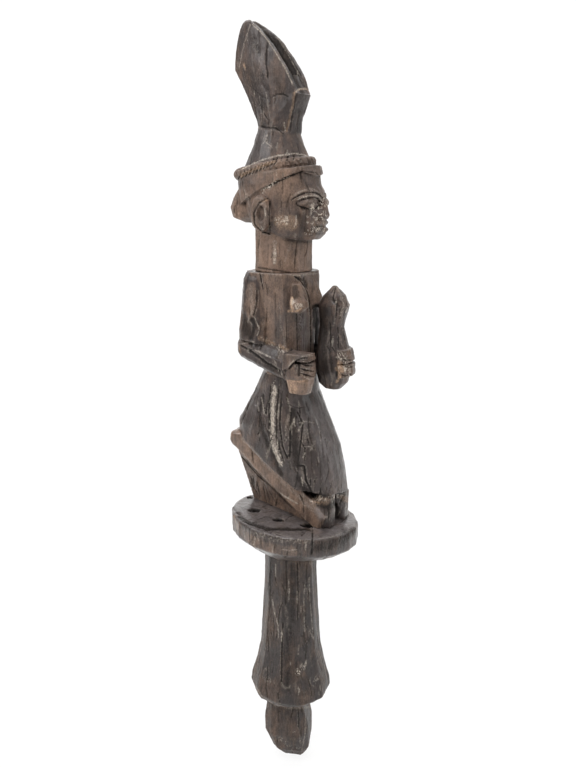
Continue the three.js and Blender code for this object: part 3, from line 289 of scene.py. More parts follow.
TORSO_MARKS = {
    "shoulder edge": [
        # Painted highlight along the shoulders' top edge.
        ("dust_and_highlight", 0.7, 0.1, 0.7, [
            (248, 271), (257, 268.6), (280, 272.4), (294, 275.4), (306, 274.6), (318, 273.4)
        ]),
        ("crack", 0.7, 0.5, 0.8, [(260, 273), (261, 280), (263, 289)]),
    ],
    "right upper arm": [
        ("warm", 4.6, 0.0, 0.6, [(251, 287), (251, 313)]),
        ("rub_and_highlight", 2.0, 0.0, 0.5, [(251, 287), (252, 313)]),
        ("crack", 0.9, 0.7, 0.8, [(257, 290), (257, 303), (253, 316)]),
        # These two dark rows paint the shade on the upper arm's lower facet and recess.
        ("dirt_and_shade", 5.2, 1.5, 1.0, [(242, 318), (245, 326), (248, 334)]),
        ("dirt_and_shade", 3.0, 1.2, 1.0, [(252, 320), (255, 327), (250, 338)]),
        ("dust_and_highlight", 0.6, 0.0, 0.7, [(254, 317), (257, 323), (259.4, 329), (257, 336)]),
        ("dirt_and_shade", 2.4, 0.3, 0.9, [(242, 290), (240, 310), (238.6, 340)]),
    ],
    "lower torso, film and crumbs": [
        # Painted grey sheen on the torso's front.
        ("film_and_sheen", 8.0, 0.0, 0.8, [(303, 316), (304, 346)]),
        ("dirt_and_shade", 2.0, 0.3, 0.5, [(249, 276), (247, 284), (244, 292)]),
        ("raw", 1.8, 0.1, 0.5, [(260, 338), (268, 342), (274, 344)]),
        ("raw", 1.6, 0.1, 0.5, [(280, 346), (287, 350)]),
        ("specks", 3.0, 0.1, 0.6, [(262, 340), (276, 346), (286, 352)]),
    ],
    "torso facets": [
        ("warm", 6.0, 0.0, 0.5, [(266, 300), (268, 335)]),
        # This dark row paints the shade on the torso's front face.
        ("dirt_and_shade", 5.5, 0.2, 0.45, [(301, 314), (301, 350)]),
        ("crack", 0.7, 0.4, 0.8, [(296.5, 312), (297, 330), (297.4, 350)]),
        ("crack", 0.5, 0.3, 0.7, [(303, 313), (304, 332), (303.4, 351)]),
        ("crack", 0.5, 0.3, 0.6, [(286, 314), (287, 346)]),
        ("crack", 0.5, 0.2, 0.6, [(275, 290), (276, 322)]),
    ],
    "edge of the right breast": [
        ("crack", 0.9, 0.7, 0.9, [
            (294, 276), (300, 280), (305.4, 287), (309, 297), (310.4, 310), (311, 352)
        ]),
        ("rub_and_highlight", 0.8, 0.0, 0.8, [(303, 286), (307, 296), (308.6, 310)]),
        ("dirt_and_shade", 2.8, 0.7, 0.9, [(304, 279), (307, 286)]),
        ("crack", 0.6, 0.5, 1.0, [(299, 277), (304, 282), (308, 289)]),
    ],
    "tip of the right breast": [
        ("dirt_and_shade", 4.6, 0.3, 1.0, [(294.6, 288), (294.6, 295)]),
        ("raw", 1.9, 0.3, 1.0, [(291, 299), (290.4, 304), (291.4, 309)]),
        ("dust_and_highlight", 1.7, 0.2, 0.9, [(298, 304), (303, 306)]),
        ("raw", 1.0, 0.2, 0.9, [(289, 311), (296, 311.6), (301, 309)]),
        ("specks", 2.4, 0.1, 0.6, [(291, 300), (294, 307), (300, 307)]),
    ],
    "shade beside the gourd": [
        ("dirt_and_shade", 4.0, 0.3, 1.0, [(316.5, 306), (317, 330), (317, 352), (319, 380)]),
        ("dirt_and_shade", 6.5, 0.0, 0.85, [(323, 308), (322, 340), (324, 372)]),
    ],
    "right forearm": [
        # Painted highlight along the forearm's top.
        ("dust_and_highlight", 1.0, 0.2, 0.6, [(254, 349.6), (262, 353), (271, 357.4)]),
    ],
    "short cuts": [
        ("gouges", 6.0, 0.5, 0.8, [(246, 352), (262, 360), (280, 368)]),
        ("gouges", 5.0, 0.5, 0.8, [(284, 362), (298, 368), (310, 366)]),
        ("gouges", 7.0, 0.5, 0.7, [(345, 296), (334, 330), (338, 352)]),
        ("gouges", 7.0, 0.5, 0.7, [(326, 360), (336, 378)]),
        ("gouges", 6.0, 0.5, 0.7, [(246, 300), (250, 330)]),
    ],
    "underside of the right forearm": [
        ("crack", 1.2, 0.7, 1.0, [
            (241, 345.6), (250, 350.6), (260, 358), (266, 363), (272, 366), (280, 371)
        ]),
        ("dirt_and_shade", 2.6, 0.2, 0.6, [(266, 364), (274, 370), (284, 375)]),
        ("raw", 1.0, 0.2, 0.6, [(238.6, 346), (240, 352)]),
        ("dust_and_highlight", 0.7, 0.1, 0.6, [(239, 344), (247, 343), (255, 341.6)]),
    ],
    "knuckles of the right hand": [
        # Painted highlights along the top of the thumb and fist.
        ("dust_and_highlight", 0.8, 0.0, 1.0, [(288, 368), (291, 363.4), (294.4, 360)]),
        ("dust_and_highlight", 0.8, 0.0, 1.0, [(302, 356), (307, 354.8), (313.4, 355.8)]),
        ("crack", 0.8, 0.5, 1.0, [(289, 369), (293, 364), (297, 360.6), (303, 358), (308, 358)]),
    ],
    "fingers of the right hand": [
        # This dark row paints the shade in the corner by the knuckles; the last three pale rows paint
        # highlights between the fingers.
        ("dirt_and_shade", 1.6, 0.5, 1.0, [(298.6, 362), (299, 368), (298.6, 375)]),
        ("crack", 0.7, 0.6, 1.0, [(299, 363), (306, 365.6), (313, 366)]),
        ("crack", 0.7, 0.6, 1.0, [(299, 368), (306, 370.4), (314, 371.4)]),
        ("crack", 0.7, 0.6, 1.0, [(299, 373), (306, 375), (314, 377)]),
        ("dust_and_highlight", 0.5, 0.0, 0.8, [(302, 361), (309, 363.6)]),
        ("dust_and_highlight", 0.5, 0.0, 0.8, [(304, 368.4), (311, 369)]),
        ("dust_and_highlight", 0.5, 0.0, 0.8, [(303, 376.6), (311, 380)]),
    ],
    "end of the held handle": [
        ("raw", 4.2, 0.1, 0.5, [(289, 384), (294, 390)]),
        ("dust_and_highlight", 0.6, 0.0, 0.7, [(286.4, 386), (289, 392), (293, 394)]),
        ("dust_and_highlight", 0.6, 0.0, 0.7, [(304, 394.4), (311, 392), (312, 382)]),
        ("raw", 0.9, 0.1, 0.8, [(287, 381), (299, 381.6), (308, 380)]),
    ],
    "left hand": [
        ("dust_and_highlight", 1.6, 0.2, 1.0, [(343, 366), (345.6, 369), (345, 372.6)]),
        ("raw", 2.6, 0.0, 0.9, [(339, 363), (342, 370)]),
        ("raw", 1.6, 0.2, 0.9, [(337, 369), (340, 376), (337, 382)]),
        ("dust_and_highlight", 0.6, 0.0, 0.8, [(337, 353), (341, 360), (338, 371)]),
    ],
    "fingers of the left hand": [
        ("crack", 0.7, 0.5, 0.9, [(340, 358), (345, 360), (352, 360)]),
        ("crack", 0.7, 0.5, 0.9, [(340, 366), (346, 367), (353, 367)]),
        ("crack", 0.7, 0.5, 0.9, [(339, 374), (345, 376), (352, 374)]),
        ("specks", 2.8, 0.1, 1.2, [(336, 354), (346, 358), (349, 374)]),
    ],
    "gourd": [
        ("specks", 1.8, 0.1, 0.8, [(346, 294), (349, 304), (346, 312)]),
        ("dirt_and_shade", 1.8, 0.4, 0.8, [(333, 300), (339, 306)]),
        ("crack", 0.6, 0.4, 0.8, [(330, 322), (331, 345), (335, 352)]),
        ("rub_and_highlight", 0.9, 0.0, 0.8, [(342, 326), (347, 340), (348, 350)]),
        ("crack", 0.7, 0.5, 0.8, [(336, 286), (333, 298), (337, 306), (336, 318)]),
        ("rub_and_highlight", 1.1, 0.0, 0.9, [(336, 286), (341, 294), (344, 304), (341, 316)]),
        ("rub_and_highlight", 1.0, 0.0, 0.7, [(330, 330), (327, 344), (328, 362), (333, 380)]),
        # This dark row paints the shade on the gourd's near side.
        ("dirt_and_shade", 2.2, 0.0, 0.7, [(332, 336), (330, 350), (332, 372)]),
    ],
    "deep shade beside the gourd": [
        ("pit", 4.0, 0.0, 0.75, [(315.5, 307), (315.5, 330), (315.5, 352)]),
    ],
    "wrist of the left hand": [
        ("dust_and_highlight", 0.6, 0.0, 0.9, [(340, 350), (345, 358), (350, 362)]),
    ],
}
# The notches at the side of the headdress band: their number, the first one's start and end, and the step
# from one to the next, in the photograph's pixels.
NOTCH_COUNT = 11
NOTCH_START, NOTCH_END, NOTCH_STEP = (241.4, 172.5), (237.8, 180.0), (3.6, -1.5)
BAND_NOTCHES = [
    ("crack", 0.8, 0.7, 1.0, [
        (x + NOTCH_STEP[0] * index, y + NOTCH_STEP[1] * index) for x, y in (NOTCH_START, NOTCH_END)])
    for index in range(NOTCH_COUNT)
]
HEAD_MARKS = {
    "notches at the side of the band": BAND_NOTCHES,
    "bare cheeks": [
        # Bare wood together with a painted highlight on the cheeks.
        ("raw", 5.0, 0.0, 0.36, [(278, 222), (292, 223)]),
        ("raw", 3.0, 0.0, 0.2, [(314, 222), (324, 222)]),
    ],
    "darker and greyer places on the crest and cone": [
        # The film rows paint grey sheen; the one on the cone paints its reflection.
        ("film_and_sheen", 5.0, 0.0, 0.3, [(252, 50), (262, 66)]),
        ("dirt_and_shade", 8.0, 0.0, 0.5, [(244, 66), (254, 88), (266, 106)]),
        ("dirt_and_shade", 5.0, 0.0, 0.5, [(254, 40), (258, 52)]),
        ("dirt_and_shade", 4.0, 0.0, 0.5, [(276, 80), (286, 100)]),
        ("film_and_sheen", 6.0, 0.0, 0.25, [(262, 136), (266, 150)]),
    ],
    "edges of the crest": [
        ("dust_and_highlight", 0.8, 0.1, 0.6, [(251, 23), (262, 33), (269, 42), (276, 53), (286, 70), (293.4, 86)]),
        ("dust_and_highlight", 0.6, 0.0, 0.4, [(262, 22.6), (276, 35), (289, 56), (300, 76), (307, 90)]),
    ],
    "crest's channel": [
        # The dark rows paint the shade in the channel's near half.
        ("dirt_and_shade", 4.6, 0.3, 1.0, [(262, 29), (273, 43), (284, 60), (294, 78), (301, 90)]),
        ("crack", 0.8, 0.4, 0.9, [(266, 33), (276, 46), (287, 64), (297, 84)]),
        ("gouges", 3.0, 0.3, 0.7, [(268, 36), (284, 58), (297, 82)]),
        ("dirt_and_shade", 3.6, 0.1, 1.0, [(272, 34), (286, 54), (299, 76), (305, 88)]),
    ],
    "cracks on the side of the crest": [
        ("crack", 0.7, 0.5, 0.9, [(267.4, 69), (267.8, 79)]),
        ("raw", 1.2, 0.3, 0.5, [(243.6, 64), (245, 69)]),
        ("dirt_and_shade", 3.4, 0.6, 0.4, [(262, 84), (268, 92), (270, 104)]),
        ("crack", 0.7, 0.4, 0.6, [(270, 98), (276, 94.4), (283, 94), (289, 97)]),
        ("crack", 0.6, 0.3, 0.5, [(257, 92), (262, 97), (269, 99)]),
        ("crack", 0.6, 0.4, 0.7, [(259, 101), (262, 111), (268, 120)]),
    ],
    "crest's front panel": [
        ("raw", 0.9, 0.4, 0.6, [(294, 93), (299, 89.4), (306, 88.6), (311, 92)]),
        ("dust_and_highlight", 0.8, 0.2, 1.0, [(295, 92), (300, 88.6), (308, 88.4)]),
        ("raw", 0.8, 0.3, 0.5, [(294, 94), (293, 104), (290, 116), (286.6, 131)]),
        ("crack", 0.8, 0.4, 0.9, [(296, 94), (295, 106), (292, 118), (290, 132)]),
        ("dirt_and_shade", 4.8, 0.0, 0.5, [(302, 98), (300, 112), (297, 130)]),
    ],
    "fine scratches at the foot of the crest": [
        ("dust_and_highlight", 0.5, 0.1, 0.8, [(284, 122), (285.6, 133)]),
        ("dust_and_highlight", 0.5, 0.1, 0.7, [(263, 140), (268, 144), (273, 148)]),
        ("dust_and_highlight", 0.5, 0.1, 0.7, [(261, 146), (266, 139), (268, 132)]),
        ("specks", 2.6, 0.0, 0.2, [(262, 136), (270, 146)]),
    ],
    "short cuts": [
        ("gouges", 9.0, 0.3, 0.4, [(262, 134), (268, 148)]),
        ("gouges", 9.0, 0.35, 0.4, [(256, 88), (268, 96), (280, 100)]),
        ("gouges", 9.0, 0.3, 0.35, [(262, 110), (276, 118)]),
    ],
    "cone": [
        ("crack", 0.6, 0.4, 0.8, [(256, 124), (264, 127), (276, 128), (284, 134)]),
        ("crack", 0.6, 0.4, 0.7, [(255, 140), (252, 150), (249, 158)]),
    ],
    "specks and rubbed edge of the crest": [
        ("specks", 3.0, 0.0, 0.14, [(252, 40), (262, 62), (258, 80)]),
        ("rub_and_highlight", 1.0, 0.0, 0.9, [(250, 25), (244, 44), (239, 68)]),
    ],
    "band's edge": [
        # Painted highlight along the band's top edge.
        ("dust_and_highlight", 0.8, 0.0, 0.9, [(238, 171), (250, 165), (262, 160), (276, 156), (295, 153.4), (310, 156)]),
        ("raw", 1.4, 0.0, 0.5, [(240, 176), (250, 171), (262, 166), (274, 161)]),
    ],
    "notches at the front of the band": [
        ("crack", 0.6, 0.4, 1.0, [(282, 157), (280.6, 161)]),
        ("crack", 0.6, 0.4, 1.0, [(288, 156.4), (287, 160)]),
        ("crack", 0.6, 0.4, 1.0, [(294, 157), (293, 161)]),
        ("crack", 0.6, 0.4, 1.0, [(301, 158), (300, 162)]),
    ],
    "hair roll": [
        ("crack", 0.7, 0.4, 0.65, [
            (263, 189), (275, 183), (290, 176), (303, 171.4), (316, 172.4), (321, 178)
        ]),
        ("specks", 1.6, 0.1, 1.0, [(263, 191), (270, 186), (277, 181)]),
        ("dust_and_highlight", 0.5, 0.1, 0.7, [(280, 180), (290, 176.6)]),
    ],
    "specks on the face": [
        ("specks", 3.4, 0.1, 1.0, [(312, 207), (318, 205), (328, 201)]),
        ("specks", 4.4, 0.1, 1.0, [(311, 219), (320, 215), (328, 222)]),
        ("specks", 2.6, 0.1, 0.9, [(306, 232), (316, 229), (326, 230)]),
        ("specks", 3.0, 0.1, 1.0, [(277, 221), (289, 220)]),
        ("dust_and_highlight", 1.8, 0.2, 0.7, [(281, 221.6), (288, 220)]),
        ("dust_and_highlight", 0.7, 0.1, 0.8, [(296, 215), (296.4, 222), (294, 228)]),
    ],
    "shade on the face": [
        ("dirt_and_shade", 3.6, 0.1, 0.6, [(299, 215), (302, 225), (310, 234)]),
        ("dirt_and_shade", 2.4, 0.2, 0.6, [(302, 208), (309, 203)]),
    ],
    "ear": [
        ("crack", 0.85, 0.6, 0.8, [
            (268, 198), (259, 203), (253.6, 213), (254.4, 225), (262, 232), (270, 234)
        ]),
        ("crack", 0.7, 0.5, 0.8, [(270, 201), (269.4, 216), (270, 232)]),
        ("dust_and_highlight", 1.0, 0.1, 1.0, [(264.6, 210), (265.6, 216)]),
        ("dust_and_highlight", 0.8, 0.1, 1.0, [(261, 227), (263, 229.4)]),
        ("raw", 0.8, 0.1, 0.7, [(262, 202), (267, 200)]),
    ],
    "shade at the top of the neck": [
        ("dirt_and_shade", 1.8, 0.1, 0.6, [(284, 239.6), (300, 242), (315, 242)]),
    ],
    "nape bun": [
        ("rub_and_highlight", 2.0, 0.0, 0.6, [(243, 188), (247, 197), (249, 206)]),
    ],
    "neck": [
        ("rub_and_highlight", 1.5, 0.1, 0.9, [(274.6, 242), (274.6, 262)]),
        ("dust_and_highlight", 1.5, 0.1, 0.6, [(275, 246), (274.4, 264)]),
        ("crack", 0.5, 0.2, 0.4, [(268.6, 243), (267.4, 266)]),
        ("crack", 0.5, 0.2, 0.3, [(279.6, 243), (279, 268)]),
        ("crack", 0.5, 0.2, 0.3, [(304, 244), (304.6, 270)]),
        ("dirt_and_shade", 1.2, 0.2, 0.9, [(258, 267.6), (280, 271), (294, 273.6), (314, 272)]),
    ],
}

# The carved eyes, where the frame's head has them: each eye's middle, across from the head's middle and up
# from its foot, and its half width and half height.
EYE_ACROSS, EYE_UP = 8.9 * MM, 21.6 * MM
EYE_HALF_WIDE, EYE_HALF_HIGH = 6.0 * MM, 2.8 * MM

# Cuts round each eye: kind, half width and depth in millimetres, strength, width and height as shares of the
# eye's own, and where the cut starts and stops, as shares of a full turn.
EYE_CUTS = {
    "outline": ("crack", 0.75, 0.6, 1.0, 1.05, 1.2, 0.0, 1.0),
    "rubbed middle": ("rub_and_highlight", 0.9, 0.0, 1.0, 0.7, 0.5, 0.0, 1.0),
    "dusty lid": ("dust_and_highlight", 0.7, 0.0, 0.9, 1.2, 1.65, 0.06, 0.44),
    "groove under the brow": ("crack", 0.8, 0.6, 0.9, 1.4, 2.3, 0.05, 0.45),
    "rubbed brow": ("rub_and_highlight", 1.0, 0.0, 1.0, 1.5, 2.9, 0.08, 0.42),
}
EYE_CUT_POINTS = 40
EYE_RAY_START = 10 * MM

# The surface value that each kind of mark changes
MARK_CHANNELS = {
    "crack": "hollow", "pit": "hollow", "dirt_and_shade": "stain_and_shade", "raw": "raw", "dust_and_highlight": "dust_and_highlight", "specks": "flecks",
    "rub_and_highlight": "edge", "warm": "warm", "film_and_sheen": "film_and_sheen",
}

# Closing the seams: points closer than the weld merge, each solid grows along its normals, by at most the
# limit times the growth at its edges, and the tool marks then take off nearly as much.
WELD = 0.002 * MM
SEAM_GROWTH = 0.22 * MM
EDGE_GROWTH_LIMIT = 2.0
TAKE_OFF = 0.16 * MM

# The headdress band's notches all round: their number, half width and the slope of their row to the back
BAND_NOTCH_COUNT, BAND_NOTCH_WIDTH, BAND_RISE = 34, 0.85 * MM, -0.16

# Rounds of smoothing: on a skin before it is carved, for its warmth, and to find fine, broad and wide hollows
SKIN_ROUNDS, WARMTH_ROUNDS = 1, 5
FINE_ROUNDS, BROAD_ROUNDS, WIDE_ROUNDS = 3, 24, 90

# What counts as an edge or a hollow: the relief in millimetres at which it starts, the span over which it
# grows and, where that isn't 1, the most that it reaches. FLECKED_EDGE is the same for flecks, by the edge's
# strength. The shares scale what fine hollows, flecks and the clouds of warmer wood add.
FINE_EDGE, BROAD_EDGE = (0.03, 0.12), (0.35, 1.6, 0.4)
FINE_HOLLOW, BROAD_HOLLOW, WIDE_HOLLOW = (0.03, 0.14), (0.15, 0.9), (0.5, 3, 0.55)
FLECKED_EDGE = (0.3, 1)
FINE_HOLLOW_SHARE, FLECK_SHARE, WARMTH_SHARE = 0.6, 0.5, 0.12
WARMTH_CLOUD = 9 * MM

# Stray cuts along the grain: length, half width and depth in millimetres, strength and the kinds drawn from,
# and how far all of them lean from the grain and bow
STRAY_CUTS = {
    "long": (22, 0.75, 0.4, 0.8, ("crack", "crack", "crack", "rub_and_highlight")),
    "short": (7, 0.9, 0.4, 0.7, ("crack", "crack", "dust_and_highlight", "rub_and_highlight")),
}
STRAY_LEAN, STRAY_BOW = 0.12, 0.06
SQUARE_CENTIMETRE = 100 * MM * MM

# Gouges: the kinds drawn from, the shortest and longest in millimetres, how far they lean from upright, and
# the points of a path times its spread that one gouge stands for
GOUGE_KINDS = ("crack", "crack", "crack", "dirt_and_shade", "dust_and_highlight", "rub_and_highlight")
GOUGE_SHORTEST, GOUGE_LONGEST, GOUGE_LEAN = 3.0, 11.0, 0.35
GOUGE_SPACING = 42

# Steps along a cut, and between the rays that find a mark's place, in the photograph's pixels
CUT_STEP = 0.5 * MM
RAY_STEP = 0.7

# How a cut's width wanders: its mean for pale lines of dust and painted highlight and for the rest,
# and the swing and the pace of two waves
DUST_MEAN, CUT_MEAN = 0.72, 0.92
SLOW_SWING, SLOW_PACE = 0.16, 0.45
QUICK_SWING, QUICK_PACE = 0.12, 1.3

# How cracks and dust run out: the width at the very end, the gain with each step, and the most points of a
# path that is too short for it
END_WIDTH, END_GAIN, TOO_SHORT = 0.45, 0.12, 6

# The paper floor, in metres along the view from the wand's axis: where it starts, where it begins to curve
# up, the curve's radius, the height of the backdrop's top and half its width. It lies a little below the tip.
FLOOR_START, CURVE_START, CURVE_RADIUS, BACKDROP_TOP, FLOOR_HALF_WIDE = -3.0, 1.2, 0.6, 4.0, 4.0
FLOOR_GAP = 0.3 * MM

# The camera's sensor in millimetres, and the height above the finial's tip that the lamps point at
SENSOR_WIDTH = 36
LIT_HEIGHT = 250 * MM

# Lamps, in metres: how far towards the camera, to its left and up they stand from the place that they point
# at, and their width and height. The backdrop's lamp points at a place behind the wand, at the last distance.
LAMPS = {
    "key_lamp": (0.3, 0.9, 0.6, 0.35, 0.45),
    "fill_lamp": (0.3, -0.95, 0.35, 0.5, 0.8),
    "top_lamp": (0.6, 0.1, 1.15, 0.6, 0.6),
    "backdrop_lamp": (0.8, 0.0, 1.5, 2.2, 0.5),
}
BEHIND = 1.6

# Settings that a user would change


class WandCarving(bpy.types.PropertyGroup):
    """Sizes of the carver's marks and of the wear"""

    head_voxel: FloatProperty(
        name="Head Detail", description="Finest detail of the head and crest", default=0.54 * MM,
        min=0.2 * MM, max=2 * MM, unit="LENGTH", precision=5)
    torso_voxel: FloatProperty(
        name="Torso Detail", description="Finest detail of the torso, arms and hands", default=0.5 * MM,
        min=0.2 * MM, max=2 * MM, unit="LENGTH", precision=5)
    body_voxel: FloatProperty(
        name="Body Detail", description="Finest detail of the other stretches", default=0.58 * MM,
        min=0.2 * MM, max=2 * MM, unit="LENGTH", precision=5)
    facet_size: FloatProperty(
        name="Facet Size", description="Width of one adze facet", default=8 * MM,
        min=1 * MM, max=40 * MM, unit="LENGTH", precision=4)
    facet_depth: FloatProperty(
        name="Facet Depth", description="Depth of an adze facet's hollow", default=0.5 * MM,
        min=0.0, max=2 * MM, unit="LENGTH", precision=5)
    knife_size: FloatProperty(
        name="Knife Mark Size", description="Width of one knife mark", default=2.6 * MM,
        min=0.5 * MM, max=10 * MM, unit="LENGTH", precision=4)
    knife_depth: FloatProperty(
        name="Knife Mark Depth", description="Depth of a knife mark", default=0.26 * MM,
        min=0.0, max=1 * MM, unit="LENGTH", precision=5)
    cuts: FloatProperty(
        name="Cuts", description="Stray cuts of each kind on a square centimetre", default=0.5,
        min=0.0, max=4.0)
    # Wear also scales the painted edge highlights.
    wear: FloatProperty(
        name="Wear", description="How far the edges are rubbed down and paled by painted highlights", default=0.8,
        min=0.0, max=1.0, subtype="FACTOR")
    seed: IntProperty(name="Seed", description="Seed of the tool marks", default=4, min=0)


class WandWood(bpy.types.PropertyGroup):
    """Colours of the wood, some of them also used for painted shade, highlights and sheen, as linear values
    """

    patina: FloatVectorProperty(
        name="Patina", description="Dark handled surface", default=(0.043, 0.0300, 0.0265),
        subtype="COLOR", min=0, max=1)
    brown: FloatVectorProperty(
        name="Brown Wood", description="Seldom touched wood", default=(0.20, 0.128, 0.090),
        subtype="COLOR", min=0, max=1)
    # The near-black of old dirt, also used as the painted shade in hollows, holes and stains.
    hollow: FloatVectorProperty(
        name="Hollows", description="Old dirt and painted shade in the recesses", default=(0.010, 0.0075, 0.006),
        subtype="COLOR", min=0, max=1)
    rubbed_and_highlight: FloatVectorProperty(
        name="Rubbed Edges And Highlights", description="Polished and paler edges, and painted edge highlights", default=(0.36, 0.295, 0.245),
        subtype="COLOR", min=0, max=1)
    raw: FloatVectorProperty(
        name="Raw Wood", description="Wood laid bare by wear", default=(0.50, 0.33, 0.215),
        subtype="COLOR", min=0, max=1)
    dust_and_highlight: FloatVectorProperty(
        name="Dust And Highlight", description="Pale dust in cracks and scratches, and painted highlights", default=(0.56, 0.49, 0.41),
        subtype="COLOR", min=0, max=1)
    # Grey of settled dust and wax, also used as painted sheen.
    film_and_sheen: FloatVectorProperty(
        name="Film And Sheen", description="Grey film of settled dust and old wax, and painted sheen", default=(0.150, 0.132, 0.130),
        subtype="COLOR", min=0, max=1)
    roughness: FloatProperty(
        name="Roughness", description="Roughness of the patina", default=0.5,
        min=0.0, max=1.0, subtype="FACTOR")
    polish: FloatProperty(
        name="Polish", description="Weight of the waxy sheen that hands leave", default=0.55,
        min=0.0, max=1.0, subtype="FACTOR")
    grain: FloatProperty(
        name="Grain", description="Depth of the grain in the shading", default=0.2 * MM,
        min=0.0, max=1 * MM, unit="LENGTH", precision=5)


class WandStage(bpy.types.PropertyGroup):
    """Camera, lamps and floor"""

    camera_distance: FloatProperty(
        name="Camera Distance", description="From the camera to the wand's axis, level", default=490.8 * MM,
        unit="LENGTH", precision=4)
    camera_height: FloatProperty(
        name="Camera Height", description="Above the finial's tip", default=409.8 * MM,
        unit="LENGTH", precision=4)
    camera_azimuth: FloatProperty(
        name="Azimuth", description="Turn of the view round the wand", default=math.radians(-60),
        subtype="ANGLE")
    camera_pitch: FloatProperty(
        name="Pitch", description="How far the camera looks down", default=math.radians(14.6),
        subtype="ANGLE")
    camera_yaw: FloatProperty(
        name="Yaw", description="How far the camera looks past the axis", default=math.radians(0.22),
        subtype="ANGLE")
    key: FloatProperty(
        name="Key Lamp", description="Power of the large lamp", default=7.25, min=0, unit="POWER")
    fill: FloatProperty(
        name="Fill Lamp", description="Power of the second lamp", default=3.4, min=0, unit="POWER")
    top: FloatProperty(
        name="Top Lamp", description="Power of the lamp above", default=12.0, min=0, unit="POWER")
    backdrop: FloatProperty(
        name="Backdrop Lamp", description="Power of the lamp on the backdrop", default=40.0,
        min=0, unit="POWER")
    ambient: FloatProperty(
        name="Room Light", description="Strength of the white room", default=0.22, min=0)
    white: FloatProperty(
        name="White", description="How far the camera sees the floor as plain white", default=0.9,
        min=0, max=1, subtype="FACTOR")
    floor: FloatVectorProperty(
        name="Floor", description="Colour of the floor and backdrop", default=(0.92, 0.92, 0.91),
        subtype="COLOR", min=0, max=1)


# Node helpers


FLOAT, GEOMETRY, VECTOR = "NodeSocketFloat", "NodeSocketGeometry", "NodeSocketVector"
MATERIAL, INTEGER = "NodeSocketMaterial", "NodeSocketInt"

# A mix node's colour sockets, by number, because several of its sockets share a name
MIX_A, MIX_B, MIX_RESULT = 6, 7, 2


def put(tree, kind, links=None, **values):
    """Adds a node; links maps an input to a socket that feeds it or to its value."""
    made = tree.nodes.new(kind)
    for key, value in values.items():
        setattr(made, key, value)
    for key, source in (links or {}).items():
        socket = made.inputs[key]
        if isinstance(source, bpy.types.NodeSocket):
            tree.links.new(source, socket)
        else:
            socket.default_value = source
    return made


def calc(tree, operation, a, b=0.0, c=0.0, clamp=False):
    """Math node on two or three values."""
    return put(tree, "ShaderNodeMath", {0: a, 1: b, 2: c}, operation=operation, use_clamp=clamp).outputs[0]


def vector(tree, x=0.0, y=0.0, z=0.0):
    """Vector out of up to three values."""
    return put(tree, "ShaderNodeCombineXYZ", {0: x, 1: y, 2: z}).outputs[0]


def vector_calc(tree, operation, a, b, c=(0.0, 0.0, 0.0)):
    """Vector math node on two or three vectors."""
    return put(tree, "ShaderNodeVectorMath", {0: a, 1: b, 2: c}, operation=operation).outputs[0]


def ramp(tree, value, low, high, out_low=0.0, out_high=1.0):
    """Value from low to high mapped smoothly to the output range."""
    return put(
        tree, "ShaderNodeMapRange",
        {"Value": value, "From Min": low, "From Max": high, "To Min": out_low, "To Max": out_high},
        interpolation_type="SMOOTHSTEP").outputs["Result"]


def noise(tree, place, detail, roughness=0.5, distortion=0.0, output="Fac"):
    """Noise at a place that is already in the noise's own size."""
    return put(tree, "ShaderNodeTexNoise", {
        "Vector": place, "Scale": 1.0, "Detail": detail, "Roughness": roughness, "Distortion": distortion,
    }).outputs[output]


def cells(tree, place, randomness):
    """Distance to the middle of the nearest cell."""
    return put(
        tree, "ShaderNodeTexVoronoi", {"Vector": place, "Scale": 1.0, "Randomness": randomness},
        feature="F1").outputs["Distance"]


def surface(tree, name):
    """One of the values that carving leaves on the surface."""
    return put(tree, "ShaderNodeAttribute", attribute_name=name, attribute_type="GEOMETRY").outputs["Fac"]


def mix_colour(tree, share, a, b):
    """Mixes two colours by a share."""
    mixed = put(tree, "ShaderNodeMix", {"Factor": share, MIX_A: a, MIX_B: b}, data_type="RGBA")
    return mixed.outputs[MIX_RESULT]


def new_group(name, kind, inputs, outputs):
    """Node group with an interface: inputs maps a name to (socket kind, default)."""
    tree = bpy.data.node_groups.new(name, kind)
    for label, (socket, default) in inputs.items():
        made = tree.interface.new_socket(label, in_out="INPUT", socket_type=socket)
        if default is not None:
            made.default_value = default
    for label, socket in outputs.items():
        tree.interface.new_socket(label, in_out="OUTPUT", socket_type=socket)
    return tree, tree.nodes.new("NodeGroupInput").outputs, tree.nodes.new("NodeGroupOutput").inputs


def shared_group(name, maker):
    """The node group of that name, made the first time that it is asked for."""
    return bpy.data.node_groups.get(name) or maker()


# Shader groups that every finish of the wand shares


def stretched(tree, across, along):
    """Object coordinates in millimetres, divided by a size across the grain and one along it."""
    place = put(tree, "ShaderNodeTexCoord").outputs["Object"]
    size = vector(
        tree, calc(tree, "DIVIDE", 1 / MM, across), calc(tree, "DIVIDE", 1 / MM, across),
        calc(tree, "DIVIDE", 1 / MM, along))
    return vector_calc(tree, "MULTIPLY", place, size)


def grain_group():
    """Long fibres and short pores that run along the wand."""
    tree, get, give = new_group(
        "Wood grain", "ShaderNodeTree",
        {"Fibre Width": (FLOAT, 0.9), "Fibre Length": (FLOAT, 26.0), "Pore Size": (FLOAT, 0.5)},
        {"Streak": FLOAT, "Pores": FLOAT, "Height": FLOAT})
    pore_length = calc(tree, "MULTIPLY", get["Pore Size"], 5.0)
    fibres = noise(tree, stretched(tree, get["Fibre Width"], get["Fibre Length"]), 4.0, 0.62)
    pores = noise(tree, stretched(tree, get["Pore Size"], pore_length), 2.0, 0.6)
    tree.links.new(ramp(tree, fibres, 0.34, 0.68), give["Streak"])
    tree.links.new(ramp(tree, pores, 0.52, 0.72), give["Pores"])
    tree.links.new(calc(tree, "SUBTRACT", fibres, calc(tree, "MULTIPLY", pores, 0.6)), give["Height"])
    return tree


